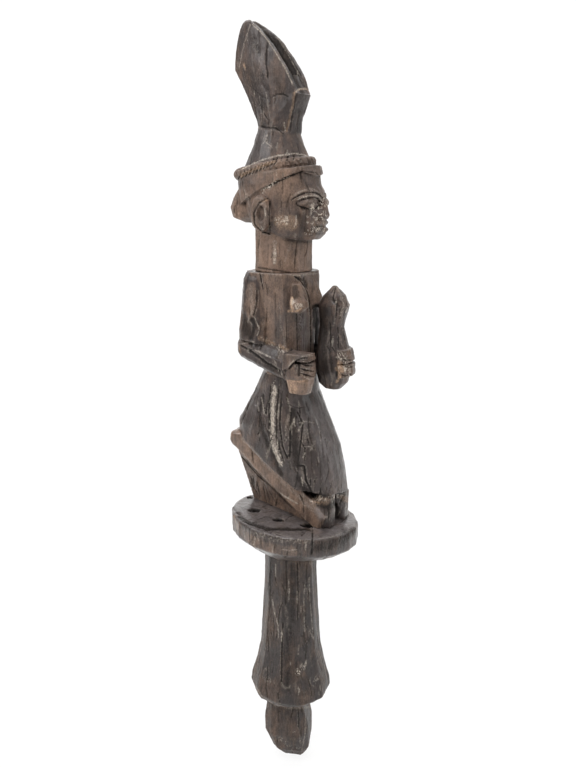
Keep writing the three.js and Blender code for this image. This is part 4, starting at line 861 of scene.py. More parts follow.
def patches_group():
    """Cloudy places where hands and oil have darkened the wood."""
    tree, get, give = new_group(
        "Patina patches", "ShaderNodeTree",
        {"Size": (FLOAT, 14.0), "Speck Size": (FLOAT, 1.6), "Fleck Size": (FLOAT, 0.75)},
        {"Patch": FLOAT, "Speck": FLOAT, "Fleck": FLOAT, "Chip": FLOAT, "Flake": FLOAT, "Mottle": FLOAT})

    def spots(size, stretch, detail, roughness, distortion=0.0):
        place = stretched(tree, get[size], calc(tree, "MULTIPLY", get[size], stretch))
        return noise(tree, place, detail, roughness, distortion)

    cloud = spots("Size", 1.8, 5.0, 0.6, 0.4)
    speck = spots("Speck Size", 2.2, 3.0, 0.7)
    fleck = spots("Fleck Size", 1.5, 2.0, 0.65, 0.8)
    mottle = noise(tree, stretched(tree, 5.0, 7.0), 5.0, 0.62, 0.6)
    flake = noise(tree, stretched(tree, 2.2, 3.0), 3.0, 0.6, 1.6)
    bend = noise(tree, stretched(tree, 1.6, 2.4), 1.0, output="Color")
    bent = vector_calc(tree, "MULTIPLY_ADD", bend, (1.6, 1.6, 1.6), stretched(tree, 1.5, 2.6))
    chip = cells(tree, bent, 1.0)
    tree.links.new(ramp(tree, cloud, 0.36, 0.66), give["Patch"])
    tree.links.new(ramp(tree, speck, 0.5, 0.74), give["Speck"])
    tree.links.new(ramp(tree, fleck, 0.42, 0.64), give["Fleck"])
    tree.links.new(ramp(tree, mottle, 0.38, 0.62), give["Mottle"])
    tree.links.new(ramp(tree, flake, 0.53, 0.585), give["Flake"])
    tree.links.new(calc(tree, "MULTIPLY", chip, chip), give["Chip"])
    return tree


def wear_and_light_group():
    """Rubbed edges with painted highlights, dirty hollows and stains with painted shade, and dust with
    painted highlights, from the values that carving left on the surface.
    """
    tree, get, give = new_group(
        "Edge wear and painted light", "ShaderNodeTree",
        {"Amount": (FLOAT, 0.6), "Speck": (FLOAT, 0.5), "Fleck": (FLOAT, 0.5), "Flake": (FLOAT, 0.5)},
        {"Rubbed And Highlight": FLOAT, "Hollow": FLOAT, "Stain And Shade": FLOAT, "Raw": FLOAT, "Dust And Highlight": FLOAT})
    broken = calc(tree, "MULTIPLY_ADD", get["Speck"], 0.4, 0.15)
    broken = calc(tree, "MULTIPLY_ADD", get["Fleck"], 0.6, broken)
    rubbed_and_highlight = calc(tree, "MULTIPLY", surface(tree, "edge"), broken)
    rubbed_and_highlight = calc(tree, "MULTIPLY", rubbed_and_highlight, get["Amount"], clamp=True)
    stain_and_shade = calc(tree, "MULTIPLY_ADD", get["Fleck"], 0.45, surface(tree, "stain_and_shade"))
    stain_and_shade = ramp(tree, stain_and_shade, 0.35, 1.0)
    unstained = calc(tree, "MULTIPLY_ADD", stain_and_shade, -0.85, 1.0)
    raw = calc(tree, "MULTIPLY", surface(tree, "raw"), ramp(tree, get["Fleck"], 0.0, 1.0, 0.3, 1.0))
    line = calc(tree, "MULTIPLY", surface(tree, "dust_and_highlight"), ramp(tree, get["Fleck"], 0.0, 0.8, 0.3, 1.0))
    flecks = calc(tree, "MULTIPLY", surface(tree, "flecks"), get["Flake"])
    tree.links.new(calc(tree, "MULTIPLY", rubbed_and_highlight, unstained), give["Rubbed And Highlight"])
    tree.links.new(surface(tree, "hollow"), give["Hollow"])
    tree.links.new(stain_and_shade, give["Stain And Shade"])
    tree.links.new(raw, give["Raw"])
    tree.links.new(calc(tree, "MAXIMUM", line, flecks), give["Dust And Highlight"])
    return tree


def wood_material(name, warmth=0.0, shine=0.0, scratch=0.0, rub_and_highlight=1.0, tone=1.0, settled_film_and_sheen=0.25, streaks=1.0):
    """Patinated wood, shifted from the wand's own for one stretch.

    warmth, shine and tone shift how brown, how polished and how light the wood is. scratch, rub_and_highlight
    and streaks are the strengths of its scratches, rubbed edges with their painted highlights, and grain.
    settled_film_and_sheen is the grey film on faces that look up: painted sheen, with settled dust.
    """
    wood = bpy.context.scene.wand_wood
    material = bpy.data.materials.new(name)
    material.use_nodes = True
    tree = material.node_tree
    shader = tree.nodes["Principled BSDF"]

    def over(colour, share, layer):
        """The colour with a share of one of the wood's colours over it."""
        return mix_colour(tree, share, colour, (*layer, 1.0))

    grain = put(tree, "ShaderNodeGroup", node_tree=shared_group("Wood grain", grain_group)).outputs
    patches = put(tree, "ShaderNodeGroup", node_tree=shared_group("Patina patches", patches_group)).outputs
    worn = put(tree, "ShaderNodeGroup", node_tree=shared_group("Edge wear and painted light", wear_and_light_group))
    worn.inputs["Amount"].default_value = bpy.context.scene.wand_carving.wear * rub_and_highlight
    for spots in ("Speck", "Fleck", "Flake"):
        tree.links.new(patches[spots], worn.inputs[spots])
    wear = worn.outputs

    cloud = calc(tree, "MULTIPLY_ADD", patches["Patch"], 0.5, -0.25 + warmth)
    streak = calc(tree, "MULTIPLY_ADD", grain["Streak"], streaks, 0.5 - 0.5 * streaks)
    brown = calc(tree, "ADD", surface(tree, "warm"), cloud)
    brown = calc(tree, "ADD", brown, calc(tree, "MULTIPLY_ADD", streak, 0.2, -0.1), clamp=True)
    colour = over((*wood.patina, 1.0), brown, wood.brown)
    light = calc(tree, "ADD", streak, calc(tree, "ADD", patches["Fleck"], patches["Mottle"]))
    light = calc(tree, "MULTIPLY_ADD", light, 0.38 * tone, 0.38 * tone)
    colour = put(tree, "ShaderNodeHueSaturation", {"Color": colour, "Value": light}).outputs["Color"]
    colour = over(colour, calc(tree, "MULTIPLY", grain["Pores"], 0.35 * streaks), wood.hollow)
    # Stains darken with dirt and with painted shade.
    colour = over(colour, calc(tree, "MULTIPLY", wear["Stain And Shade"], 0.72), wood.hollow)
    # Rubbed edges pale as wear and as painted highlights.
    colour = over(colour, wear["Rubbed And Highlight"], wood.rubbed_and_highlight)
    # Hollows darken with dirt and with painted shade.
    colour = over(colour, wear["Hollow"], wood.hollow)
    colour = over(colour, wear["Raw"], wood.raw)
    if scratch:
        lines = ramp(tree, noise(tree, stretched(tree, 0.8, 30.0), 3.0, 0.75), 0.69, 0.76)
        colour = over(colour, calc(tree, "MULTIPLY", lines, scratch), wood.raw)
    # Pale dust, whose colour also paints the highlight lines.
    colour = over(colour, calc(tree, "MULTIPLY", wear["Dust And Highlight"], 0.85), wood.dust_and_highlight)

    marked = calc(tree, "MAXIMUM", calc(tree, "MAXIMUM", wear["Hollow"], wear["Stain And Shade"]), wear["Raw"])
    clean = calc(tree, "SUBTRACT", 1.0, marked, clamp=True)
    # The grey on faces that look up, and in the film marks, is painted sheen as well as settled dust.
    normal = put(tree, "ShaderNodeNewGeometry").outputs["Normal"]
    up = put(tree, "ShaderNodeSeparateXYZ", {0: normal}).outputs[2]
    film_and_sheen = calc(tree, "MAXIMUM", surface(tree, "film_and_sheen"), ramp(tree, up, 0.55, 0.95, 0.0, settled_film_and_sheen))
    film_and_sheen = calc(tree, "MULTIPLY", film_and_sheen, calc(tree, "MULTIPLY_ADD", patches["Mottle"], 0.5, 0.5))
    colour = over(colour, calc(tree, "MULTIPLY", film_and_sheen, clean, clamp=True), wood.film_and_sheen)
    tree.links.new(colour, shader.inputs["Base Color"])

    rough = calc(tree, "MULTIPLY_ADD", patches["Speck"], 0.22, wood.roughness - shine)
    rough = calc(tree, "ADD", rough, calc(tree, "MULTIPLY", brown, 0.16))
    rough = calc(tree, "ADD", rough, calc(tree, "MULTIPLY", wear["Hollow"], 0.3), clamp=True)
    tree.links.new(rough, shader.inputs["Roughness"])
    shader.inputs["Specular IOR Level"].default_value = 0.22
    shader.inputs["Coat Roughness"].default_value = 0.38 - shine
    shader.inputs["Coat IOR"].default_value = 1.5
    polish = calc(tree, "MULTIPLY_ADD", patches["Patch"], -0.25, wood.polish + shine)
    tree.links.new(calc(tree, "MULTIPLY", clean, polish, clamp=True), shader.inputs["Coat Weight"])

    height = calc(tree, "MULTIPLY_ADD", patches["Speck"], 0.6, grain["Height"])
    height = calc(tree, "MULTIPLY_ADD", patches["Fleck"], 0.6, height)
    height = calc(tree, "MULTIPLY_ADD", patches["Chip"], 1.2, height)
    bump = put(tree, "ShaderNodeBump", {"Height": height, "Strength": 1.0, "Distance": wood.grain})
    tree.links.new(bump.outputs["Normal"], shader.inputs["Normal"])
    return material


# Geometry Nodes


def tool_marks_tree():
    """Pushes a surface in and out with the hollows of an adze and of a knife."""
    tree, get, give = new_group(
        "Tool marks", "GeometryNodeTree",
        {
            "Geometry": (GEOMETRY, None), "Facet Size": (FLOAT, 8 * MM), "Facet Depth": (FLOAT, 0.5 * MM),
            "Facet Stretch": (FLOAT, 2.4), "Knife Size": (FLOAT, 2.6 * MM), "Knife Depth": (FLOAT, 0.16 * MM),
            "Take Off": (FLOAT, 0.15 * MM), "Seed": (INTEGER, 4), "Finish": (MATERIAL, None),
        },
        {"Geometry": GEOMETRY})
    place = put(tree, "GeometryNodeInputPosition").outputs[0]
    normal = put(tree, "GeometryNodeInputNormal").outputs[0]
    shift = vector(tree, calc(tree, "MULTIPLY", get["Seed"], 1.37))

    def hollows(size, stretch, wobble):
        """Distance to the middle of the nearest mark, squared: ridges stand between the marks."""
        across = calc(tree, "DIVIDE", 1.0, size)
        scale = vector(tree, across, across, calc(tree, "DIVIDE", across, stretch))
        point = vector_calc(tree, "MULTIPLY_ADD", place, scale, shift)
        bend = put(tree, "ShaderNodeTexNoise", {"Vector": point, "Scale": 0.8, "Detail": 1.0})
        bent = vector_calc(tree, "MULTIPLY_ADD", bend.outputs["Color"], (wobble, wobble, wobble), point)
        away = cells(tree, bent, 0.9)
        return calc(tree, "SUBTRACT", calc(tree, "MULTIPLY", away, away), 0.3)

    adze = calc(tree, "MULTIPLY", hollows(get["Facet Size"], get["Facet Stretch"], 0.7), get["Facet Depth"])
    knife = calc(tree, "MULTIPLY", hollows(get["Knife Size"], 2.0, 0.5), get["Knife Depth"])
    out = calc(tree, "SUBTRACT", calc(tree, "ADD", adze, knife), get["Take Off"])
    offset = put(tree, "ShaderNodeVectorMath", {0: normal, "Scale": out}, operation="SCALE").outputs[0]
    moved = put(tree, "GeometryNodeSetPosition", {"Geometry": get["Geometry"], "Offset": offset}).outputs[0]
    real = put(tree, "GeometryNodeRealizeInstances", {"Geometry": moved}).outputs[0]
    done = put(tree, "GeometryNodeSetMaterial", {"Geometry": real, "Material": get["Finish"]}).outputs[0]
    tree.links.new(done, give["Geometry"])
    return tree


def notch_tree():
    """Cuts a row of slanting notches round the outside of the headdress band."""
    tree, get, give = new_group(
        "Band notches", "GeometryNodeTree",
        {
            "Geometry": (GEOMETRY, None), "Centre": (VECTOR, (0, 0, 0)), "Half Wide": (FLOAT, 21 * MM),
            "Half Deep": (FLOAT, 27 * MM), "Rise": (FLOAT, -0.16), "Count": (INTEGER, 30),
            "Notch Width": (FLOAT, 1.1 * MM), "Notch Length": (FLOAT, 12 * MM),
            "Lean": (FLOAT, math.radians(38)), "Seed": (INTEGER, 3), "Finish": (MATERIAL, None),
        },
        {"Geometry": GEOMETRY})
    count = put(tree, "GeometryNodeMeshLine", {"Count": get["Count"]}).outputs[0]
    index = put(tree, "GeometryNodeInputIndex").outputs[0]
    scatter = put(tree, "FunctionNodeRandomValue", {"Seed": get["Seed"]}, data_type="FLOAT").outputs[1]
    step = calc(tree, "DIVIDE", math.tau, get["Count"])
    angle = calc(tree, "MULTIPLY", calc(tree, "ADD", index, calc(tree, "MULTIPLY", scatter, 0.55)), step)
    x = calc(tree, "MULTIPLY", calc(tree, "COSINE", angle), get["Half Wide"])
    y = calc(tree, "MULTIPLY", calc(tree, "SINE", angle), get["Half Deep"])
    z = calc(tree, "MULTIPLY", y, get["Rise"])
    spot = vector_calc(tree, "ADD", vector(tree, x, y, z), get["Centre"])
    placed = put(tree, "GeometryNodeSetPosition", {"Geometry": count, "Position": spot}).outputs[0]
    wedge = put(tree, "GeometryNodeMeshCone", {
        "Vertices": 4, "Radius Top": get["Notch Width"], "Radius Bottom": get["Notch Width"],
        "Depth": get["Notch Length"]}).outputs["Mesh"]
    down = vector(tree, z=calc(tree, "MULTIPLY", get["Notch Length"], -0.5))
    centred = put(tree, "GeometryNodeTransform", {"Geometry": wedge, "Translation": down}).outputs[0]
    lean = calc(tree, "ADD", get["Lean"], calc(tree, "MULTIPLY_ADD", scatter, 0.3, -0.15))
    leaned = put(tree, "FunctionNodeAxisAngleToRotation", {"Axis": (1, 0, 0), "Angle": lean}).outputs[0]
    around = put(tree, "FunctionNodeAxisAngleToRotation", {"Axis": (0, 0, 1), "Angle": angle}).outputs[0]
    turn = put(
        tree, "FunctionNodeRotateRotation", {"Rotation": leaned, "Rotate By": around},
        rotation_space="GLOBAL").outputs[0]
    cutters = put(tree, "GeometryNodeInstanceOnPoints", {
        "Points": placed, "Instance": centred, "Rotation": turn}).outputs[0]
    cutters = put(tree, "GeometryNodeRealizeInstances", {"Geometry": cutters}).outputs[0]
    cut = put(
        tree, "GeometryNodeMeshBoolean", {"Mesh 1": get["Geometry"], "Mesh 2": cutters},
        operation="DIFFERENCE")
    cut.solver = "EXACT"
    cut.inputs["Self Intersection"].default_value = True
    real = put(tree, "GeometryNodeRealizeInstances", {"Geometry": cut.outputs["Mesh"]}).outputs[0]
    done = put(tree, "GeometryNodeSetMaterial", {"Geometry": real, "Material": get["Finish"]}).outputs[0]
    tree.links.new(done, give["Geometry"])
    return tree


def run_modifiers(obj, name):
    """New plain mesh of an object with its modifiers applied; the old object goes."""
    graph = bpy.context.evaluated_depsgraph_get()
    mesh = bpy.data.meshes.new_from_object(obj.evaluated_get(graph))
    mesh.name = name
    old = obj.data
    bpy.data.objects.remove(obj)
    bpy.data.meshes.remove(old)
    return linked(name, mesh)


def linked(name, data):
    """New object in the scene that holds the data."""
    made = bpy.data.objects.new(name, data)
    bpy.context.collection.objects.link(made)
    return made


def with_nodes(obj, name, tree, inputs):
    """Object run through a Geometry Nodes tree with its inputs set by their names."""
    modifier = obj.modifiers.new(tree.name, "NODES")
    modifier.node_group = tree
    for item in tree.interface.items_tree:
        if item.item_type == "SOCKET" and item.in_out == "INPUT" and item.name in inputs:
            modifier[item.identifier] = inputs[item.name]
    return run_modifiers(obj, name)


# Carving


def node_copy(node):
    """Copy of a node's solid with merged points, grown along its normals to close the seams."""
    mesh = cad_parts[node].data.copy()
    work = bmesh.new()
    work.from_mesh(mesh)
    bmesh.ops.remove_doubles(work, verts=work.verts, dist=WELD)
    work.normal_update()
    shifts = [v.normal * SEAM_GROWTH * min(v.calc_shell_factor(), EDGE_GROWTH_LIMIT) for v in work.verts]
    for vertex, shift in zip(work.verts, shifts):
        vertex.co += shift
    work.to_mesh(mesh)
    work.free()
    mesh.materials.clear()
    return mesh


def joined_block(name, nodes, voxel):
    """One closed skin over several solids, and a finder of the solid under a point."""
    whole = bmesh.new()
    owners = []
    for index, node in enumerate(nodes):
        mesh = node_copy(node)
        if node == "headdress_band":
            mesh = notched_band(mesh)
        before = len(whole.faces)
        whole.from_mesh(mesh)
        whole.faces.ensure_lookup_table()
        owners += [index] * (len(whole.faces) - before)
        bpy.data.meshes.remove(mesh)
    finder = BVHTree.FromBMesh(whole)
    mesh = bpy.data.meshes.new(name)
    whole.to_mesh(mesh)
    whole.free()
    obj = linked(name, mesh)
    remesh = obj.modifiers.new("Skin", "REMESH")
    remesh.mode = "VOXEL"
    remesh.voxel_size = voxel
    remesh.use_smooth_shade = True
    return run_modifiers(obj, name), finder, owners


def notched_band(mesh):
    """The headdress band's copy with its row of notches."""
    low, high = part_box("headdress_band")
    made = with_nodes(linked("band_blank", mesh), "band_blank", notch_tree(), {
        "Centre": (low + high) / 2, "Half Wide": (high.x - low.x) / 2, "Half Deep": (high.y - low.y) / 2,
        "Rise": BAND_RISE, "Count": BAND_NOTCH_COUNT, "Notch Width": BAND_NOTCH_WIDTH,
        "Seed": bpy.context.scene.wand_carving.seed,
    })
    result = made.data
    bpy.data.objects.remove(made)
    result.materials.clear()
    return result


class Surface:
    """Points, normals and neighbours of a mesh as arrays, for wear and marks."""

    def __init__(self, mesh):
        self.mesh = mesh
        count = len(mesh.vertices)
        self.points = np.zeros(count * 3)
        mesh.vertices.foreach_get("co", self.points)
        self.points = self.points.reshape(-1, 3)
        edges = np.zeros(len(mesh.edges) * 2, dtype=np.int64)
        mesh.edges.foreach_get("vertices", edges)
        self.one, self.two = edges.reshape(-1, 2).T
        degree = np.bincount(self.one, minlength=count) + np.bincount(self.two, minlength=count)
        self.degree = np.maximum(degree, 1)
        self.update()

    def update(self):
        """Gives the mesh the moved points and reads its normals again."""
        self.mesh.vertices.foreach_set("co", self.points.ravel())
        self.mesh.update()
        self.normals = np.zeros(len(self.points) * 3)
        self.mesh.vertices.foreach_get("normal", self.normals)
        self.normals = self.normals.reshape(-1, 3)

    def average(self, values):
        """Mean of each point's neighbours."""
        if values.ndim == 2:
            return np.stack([self.average(column) for column in values.T], axis=1)
        count = len(values)
        total = np.bincount(self.one, values[self.two], count)
        total = total + np.bincount(self.two, values[self.one], count)
        return total / self.degree

    def relax(self, values, rounds):
        """Values moved halfway to their neighbours' mean, a number of times."""
        for _ in range(rounds):
            values = values + 0.5 * (self.average(values) - values)
        return values

    def relief(self, rounds):
        """How far each point stands out from the smoothed surface, in millimetres."""
        away = self.points - self.relax(self.points, rounds)
        return np.einsum("ij,ij->i", away, self.normals) / MM

    def write(self, name, values):
        """Stores one value for each point, for the shaders to read."""
        data = self.mesh.attributes.new(name, "FLOAT", "POINT")
        data.data.foreach_set("value", np.clip(values, 0.0, 1.0).astype(np.float32))


def smooth_noise(points, size, seed, waves=6):
    """Cheap smooth noise between -1 and 1: a few turned waves."""
    rng = np.random.default_rng(seed)
    total = np.zeros(len(points))
    for _ in range(waves):
        direction = rng.normal(size=3) * (1, 1, 0.5)
        total += np.sin(points @ direction / size + rng.uniform(0, math.tau))
    return total / waves ** 0.5


def share_of(values, low, span, most=1.0):
    """How far the values are along a span that starts at low, from 0 to the most."""
    return np.clip((values - low) / span, 0, most)


def round_off(skin, nodes, owner):
    """Smooths the skin, and the regions that ROUNDING names more than the rest."""
    rounds = np.full(len(owner), SKIN_ROUNDS)
    for index, node in enumerate(nodes):
        if node in ROUNDING:
            low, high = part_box(node)
            above = skin.points[:, 2] > low.z + (high.z - low.z) * ROUNDING[node][1]
            rounds[(owner == index) & above] = ROUNDING[node][0]
    for step in range(rounds.max()):
        skin.points += (0.5 * (rounds > step))[:, None] * (skin.average(skin.points) - skin.points)
    skin.update()


def cut_marks(skin, seed, area, marks, eyes):
    """Cuts stray strokes, the photograph's marks and, where asked, the eyes; returns what they colour."""
    carving = bpy.context.scene.wand_carving
    chisel = Chisel(skin, seed)
    for length, width, depth, amount, kinds in STRAY_CUTS.values():
        chisel.strokes_along(round(area * carving.cuts), length, width, depth, amount, kinds)
    faces = [tuple(p.vertices) for p in skin.mesh.polygons]
    finder = BVHTree.FromPolygons([tuple(p) for p in skin.points], faces)
    camera = photo_camera()
    for rows in marks.values():
        for kind, width, depth, amount, pixels in rows:
            path = cast_line(finder, camera, pixels)
            if kind == "gouges" and path:
                chisel.gouges(width, depth, amount, path)
            else:
                chisel.stroke(kind, width, depth, amount, path)
    if eyes:
        for stroke in eye_strokes(finder):
            chisel.stroke(*stroke)
    chisel.cut()
    return chisel.values


def carve(name, nodes, voxel, material, marks, seed, facet=1.0, dirt_and_shade=1.0):
    """One stretch of the wand, from the solids of its regions to its worn and painted surface."""
    carving = bpy.context.scene.wand_carving
    block, finder, owners = joined_block(name, nodes, voxel)
    skin = Surface(block.data)
    owner = np.array([owners[finder.find_nearest(point)[2]] for point in skin.points])
    round_off(skin, nodes, owner)
    worked = with_nodes(block, name, shared_group("Tool marks", tool_marks_tree), {
        "Facet Size": carving.facet_size, "Facet Depth": carving.facet_depth * facet,
        "Knife Size": carving.knife_size, "Knife Depth": carving.knife_depth,
        "Take Off": TAKE_OFF, "Seed": carving.seed + seed, "Finish": material,
    })
    skin = Surface(worked.data)
    area = sum(face.area for face in worked.data.polygons) / SQUARE_CENTIMETRE
    extra = cut_marks(skin, carving.seed + seed, area, marks, "head" in nodes)

    fine, broad, wide = (skin.relief(rounds) for rounds in (FINE_ROUNDS, BROAD_ROUNDS, WIDE_ROUNDS))
    # Edges are paled as rubbed wear and as painted edge highlights.
    edge = share_of(fine, *FINE_EDGE) + share_of(broad, *BROAD_EDGE)
    # Broad and wide hollows are darkened as painted shade, along with the dirt in them; carve's last argument
    # scales this.
    recess = share_of(-broad, *BROAD_HOLLOW) + share_of(-wide, *WIDE_HOLLOW)
    hollow = share_of(-fine, *FINE_HOLLOW) * FINE_HOLLOW_SHARE + dirt_and_shade * recess
    warm = skin.relax(np.array([WARMTH[node] for node in nodes])[owner], WARMTH_ROUNDS)
    skin.write("edge", skin.relax(edge, 1) + extra["edge"])
    skin.write("hollow", skin.relax(hollow, 1) + extra["hollow"])
    for channel in ("raw", "dust_and_highlight", "stain_and_shade", "film_and_sheen"):
        skin.write(channel, extra[channel])
    skin.write("flecks", extra["flecks"] + FLECK_SHARE * share_of(edge, *FLECKED_EDGE))
    cloud = smooth_noise(skin.points, WARMTH_CLOUD, seed)
    skin.write("warm", warm + extra["warm"] + WARMTH_SHARE * cloud)
    worked.data.materials.clear()
    worked.data.materials.append(material)
    worked.data.shade_smooth()
    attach(worked, "root")
    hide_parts(*nodes)
    return worked


def eye_strokes(finder):
    """Lids and brows cut round the head's own eyes."""
    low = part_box("head")[0]
    strokes = []
    for side in (-1, 1):
        for kind, width, depth, amount, wide, tall, start, stop in EYE_CUTS.values():
            path = []
            for turn in np.linspace(start * math.tau, stop * math.tau, EYE_CUT_POINTS):
                x = side * (EYE_ACROSS + wide * EYE_HALF_WIDE * math.cos(turn))
                z = low.z + EYE_UP + tall * EYE_HALF_HIGH * math.sin(turn)
                hit = finder.ray_cast(Vector((x, low.y - EYE_RAY_START, z)), Vector((0, 1, 0)))[0]
                if hit is not None:
                    path.append(hit)
            strokes.append((kind, width, depth, amount, path))
    return strokes


def photo_camera():
    """World matrix of the photograph's camera."""
    stage = bpy.context.scene.wand_stage
    turn, away = stage.camera_azimuth, stage.camera_distance
    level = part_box("finial")[0].z + stage.camera_height
    place = Vector((math.sin(turn) * away, -math.cos(turn) * away, level))
    tilt = Matrix.Rotation(math.radians(90) - stage.camera_pitch, 4, "X")
    return Matrix.Translation(place) @ (Matrix.Rotation(turn + stage.camera_yaw, 4, "Z") @ tilt)


def cast_line(finder, camera, pixels):
    """Points on the surface under a line that is drawn in the photograph's pixels."""
    path = []
    for (x0, y0), (x1, y1) in zip(pixels, pixels[1:] or pixels):
        steps = max(1, round(math.hypot(x1 - x0, y1 - y0) / RAY_STEP))
        for step in range(steps + 1):
            x, y = x0 + (x1 - x0) * step / steps, y0 + (y1 - y0) * step / steps
            across, up = (x - PHOTO_WIDE / 2) / FOCAL_PIXELS, (PHOTO_HIGH / 2 - y) / FOCAL_PIXELS
            ray = camera.to_3x3() @ Vector((across, up, -1))
            hit = finder.ray_cast(camera.translation, ray.normalized())[0]
            if hit is not None:
                path.append(hit)
    return path


class Chisel:
    """Cuts and colours lines on a surface."""

    def __init__(self, skin, seed):
        self.skin = skin
        self.rng = np.random.default_rng(seed)
        self.push = np.zeros(len(skin.points))
        self.values = {channel: np.zeros(len(skin.points)) for channel in MARK_CHANNELS.values()}
        self.tree = KDTree(len(skin.points))
        for i, point in enumerate(skin.points):
            self.tree.insert(point, i)
        self.tree.balance()

    def stroke(self, kind, width, depth, amount, path):
        """One line: its width wanders, and the ends of a crack or of a pale line of dust and painted
        highlight run out.
        """
        share = {}
        waves = self.rng.uniform(0, math.tau, 3)
        for step, point in enumerate(path):
            wander = DUST_MEAN if kind == "dust_and_highlight" else CUT_MEAN
            wander += SLOW_SWING * math.sin(step * SLOW_PACE + waves[0])
            wander += QUICK_SWING * math.sin(step * QUICK_PACE + waves[1])
            if kind in ("crack", "dust_and_highlight") and len(path) > TOO_SHORT:
                wander *= min(1.0, END_WIDTH + END_GAIN * min(step, len(path) - 1 - step))
            reach = width * MM * wander
            for _, index, away in self.tree.find_range(point, reach):
                share[index] = max(share.get(index, 0.0), 1 - away / reach)
        if not share:
            return
        near = np.fromiter(share.keys(), np.int64)
        profile = self.profile(kind, np.fromiter(share.values(), float))
        self.push[near] = np.minimum(self.push[near], -depth * MM * profile)
        values = self.values[MARK_CHANNELS[kind]]
        values[near] = np.maximum(values[near], amount * profile)
        if kind == "pit":
            for pale in ("raw", "dust_and_highlight", "flecks", "edge"):
                self.values[pale][near] *= 1 - profile

    @staticmethod
    def profile(kind, share):
        """How deep a mark is at a share of the way from its rim to its middle."""
        if kind == "crack":
            return np.sqrt(share)
        if kind == "pit":
            return np.clip(share * 3, 0, 1)
        soft = np.clip(share * (1.1 if kind in ("dirt_and_shade", "film_and_sheen") else 1.8), 0, 1)
        return soft * soft * (3 - 2 * soft)

    def strokes_along(self, count, length, width, depth, amount, kinds):
        """Strokes at random places along the grain, on every side."""
        rng = self.rng
        for _ in range(count):
            index = rng.integers(len(self.skin.points))
            point, normal = Vector(self.skin.points[index]), Vector(self.skin.normals[index])
            along = Vector((rng.normal() * STRAY_LEAN, rng.normal() * STRAY_LEAN, 1.0))
            along -= normal * along.dot(normal)
            if along.length < 0.4:
                along = Vector((rng.normal(), rng.normal(), 0.0))
                along -= normal * along.dot(normal)
            along.normalize()
            size = length * MM * rng.uniform(0.3, 1.0)
            steps = max(2, round(size / CUT_STEP))
            bow = normal.cross(along) * rng.normal() * STRAY_BOW * size
            path = []
            for step in range(steps + 1):
                share = step / steps - 0.5
                path.append(point + along * share * size + bow * math.cos(math.pi * share))
            kind = kinds[rng.integers(len(kinds))]
            self.stroke(
                kind, width * rng.uniform(0.6, 1.2), depth * rng.uniform(0.3, 1.0),
                amount * rng.uniform(0.5, 1.0), path)

    def gouges(self, spread, depth, amount, line):
        """Short cuts scattered on both sides of a line."""
        rng = self.rng
        for _ in range(round(len(line) * spread / GOUGE_SPACING)):
            middle = line[rng.integers(len(line))] + Vector(rng.uniform(-spread, spread, 3) * MM)
            middle = self.tree.find(middle)[0]
            along = Vector(rng.normal(size=3) * GOUGE_LEAN)
            along.z = 1.0
            size = rng.uniform(GOUGE_SHORTEST, GOUGE_LONGEST) * MM
            steps = max(3, round(size / CUT_STEP))
            path = []
            for step in range(steps + 1):
                share = step / steps - 0.5
                path.append(self.tree.find(middle + along.normalized() * size * share)[0])
            kind = GOUGE_KINDS[rng.integers(len(GOUGE_KINDS))]
            widest = 1.5 if kind == "dirt_and_shade" else 0.95
            self.stroke(
                kind, rng.uniform(0.6, widest), depth * rng.uniform(0.4, 1.0),
                amount * rng.uniform(0.5, 1.0), path)

    def cut(self):
        """Sinks every mark into the surface."""
        self.skin.points += self.skin.normals * self.push[:, None]
        self.skin.update()


# Operators: one for each stretch of the wand, and one for the stage


class WAND_OT_handle(bpy.types.Operator):
    """Carve the finial and the handle"""

    bl_idname = "wand.carve_handle"
    bl_label = "Carve Handle"

    def execute(self, context):
        finish = wood_material("handle_wood", shine=-0.08, scratch=0.4, tone=0.68)
        nodes = ["finial", "handle"]
        voxel = context.scene.wand_carving.body_voxel
        carve("handle_and_finial", nodes, voxel, finish, HANDLE_MARKS, seed=11, facet=0.9)
        return {"FINISHED"}


class WAND_OT_plate(bpy.types.Operator):
    """Carve the pierced plate"""

    bl_idname = "wand.carve_plate"
    bl_label = "Carve Plate"

    def execute(self, context):
        finish = wood_material("plate_wood", shine=0.1, scratch=0.15, rub_and_highlight=0.55, tone=0.93, settled_film_and_sheen=0.68)
        voxel = context.scene.wand_carving.body_voxel
        carve("pierced_plate", ["base_plate"], voxel, finish, PLATE_MARKS, seed=23, facet=1.1, dirt_and_shade=0.15)
        return {"FINISHED"}


class WAND_OT_legs(bpy.types.Operator):
    """Carve the legs, knees and wrapper"""

    bl_idname = "wand.carve_legs"
    bl_label = "Carve Legs and Wrapper"

    def execute(self, context):
        finish = wood_material("wrapper_wood", warmth=-0.05, shine=0.08, streaks=0.7)
        nodes = ["wrapper", "leg_support", "right_lower_leg", "left_lower_leg", "right_knee", "left_knee"]
        voxel = context.scene.wand_carving.body_voxel
        carve("kneeling_legs", nodes, voxel, finish, LEG_MARKS, seed=31, facet=1.3)
        return {"FINISHED"}


class WAND_OT_torso(bpy.types.Operator):
    """Carve the torso, arms, hands and gourd"""

    bl_idname = "wand.carve_torso"
    bl_label = "Carve Torso and Arms"

    def execute(self, context):
        finish = wood_material("torso_wood", shine=0.02, streaks=0.6)
        nodes = [
            "torso", "right_breast", "left_breast", "right_upper_arm", "left_upper_arm", "right_forearm",
            "left_forearm", "right_hand", "left_hand", "held_handle_end", "gourd_rattle",
        ]
        voxel = context.scene.wand_carving.torso_voxel
        carve("torso_and_arms", nodes, voxel, finish, TORSO_MARKS, seed=43, dirt_and_shade=0.8)
        return {"FINISHED"}


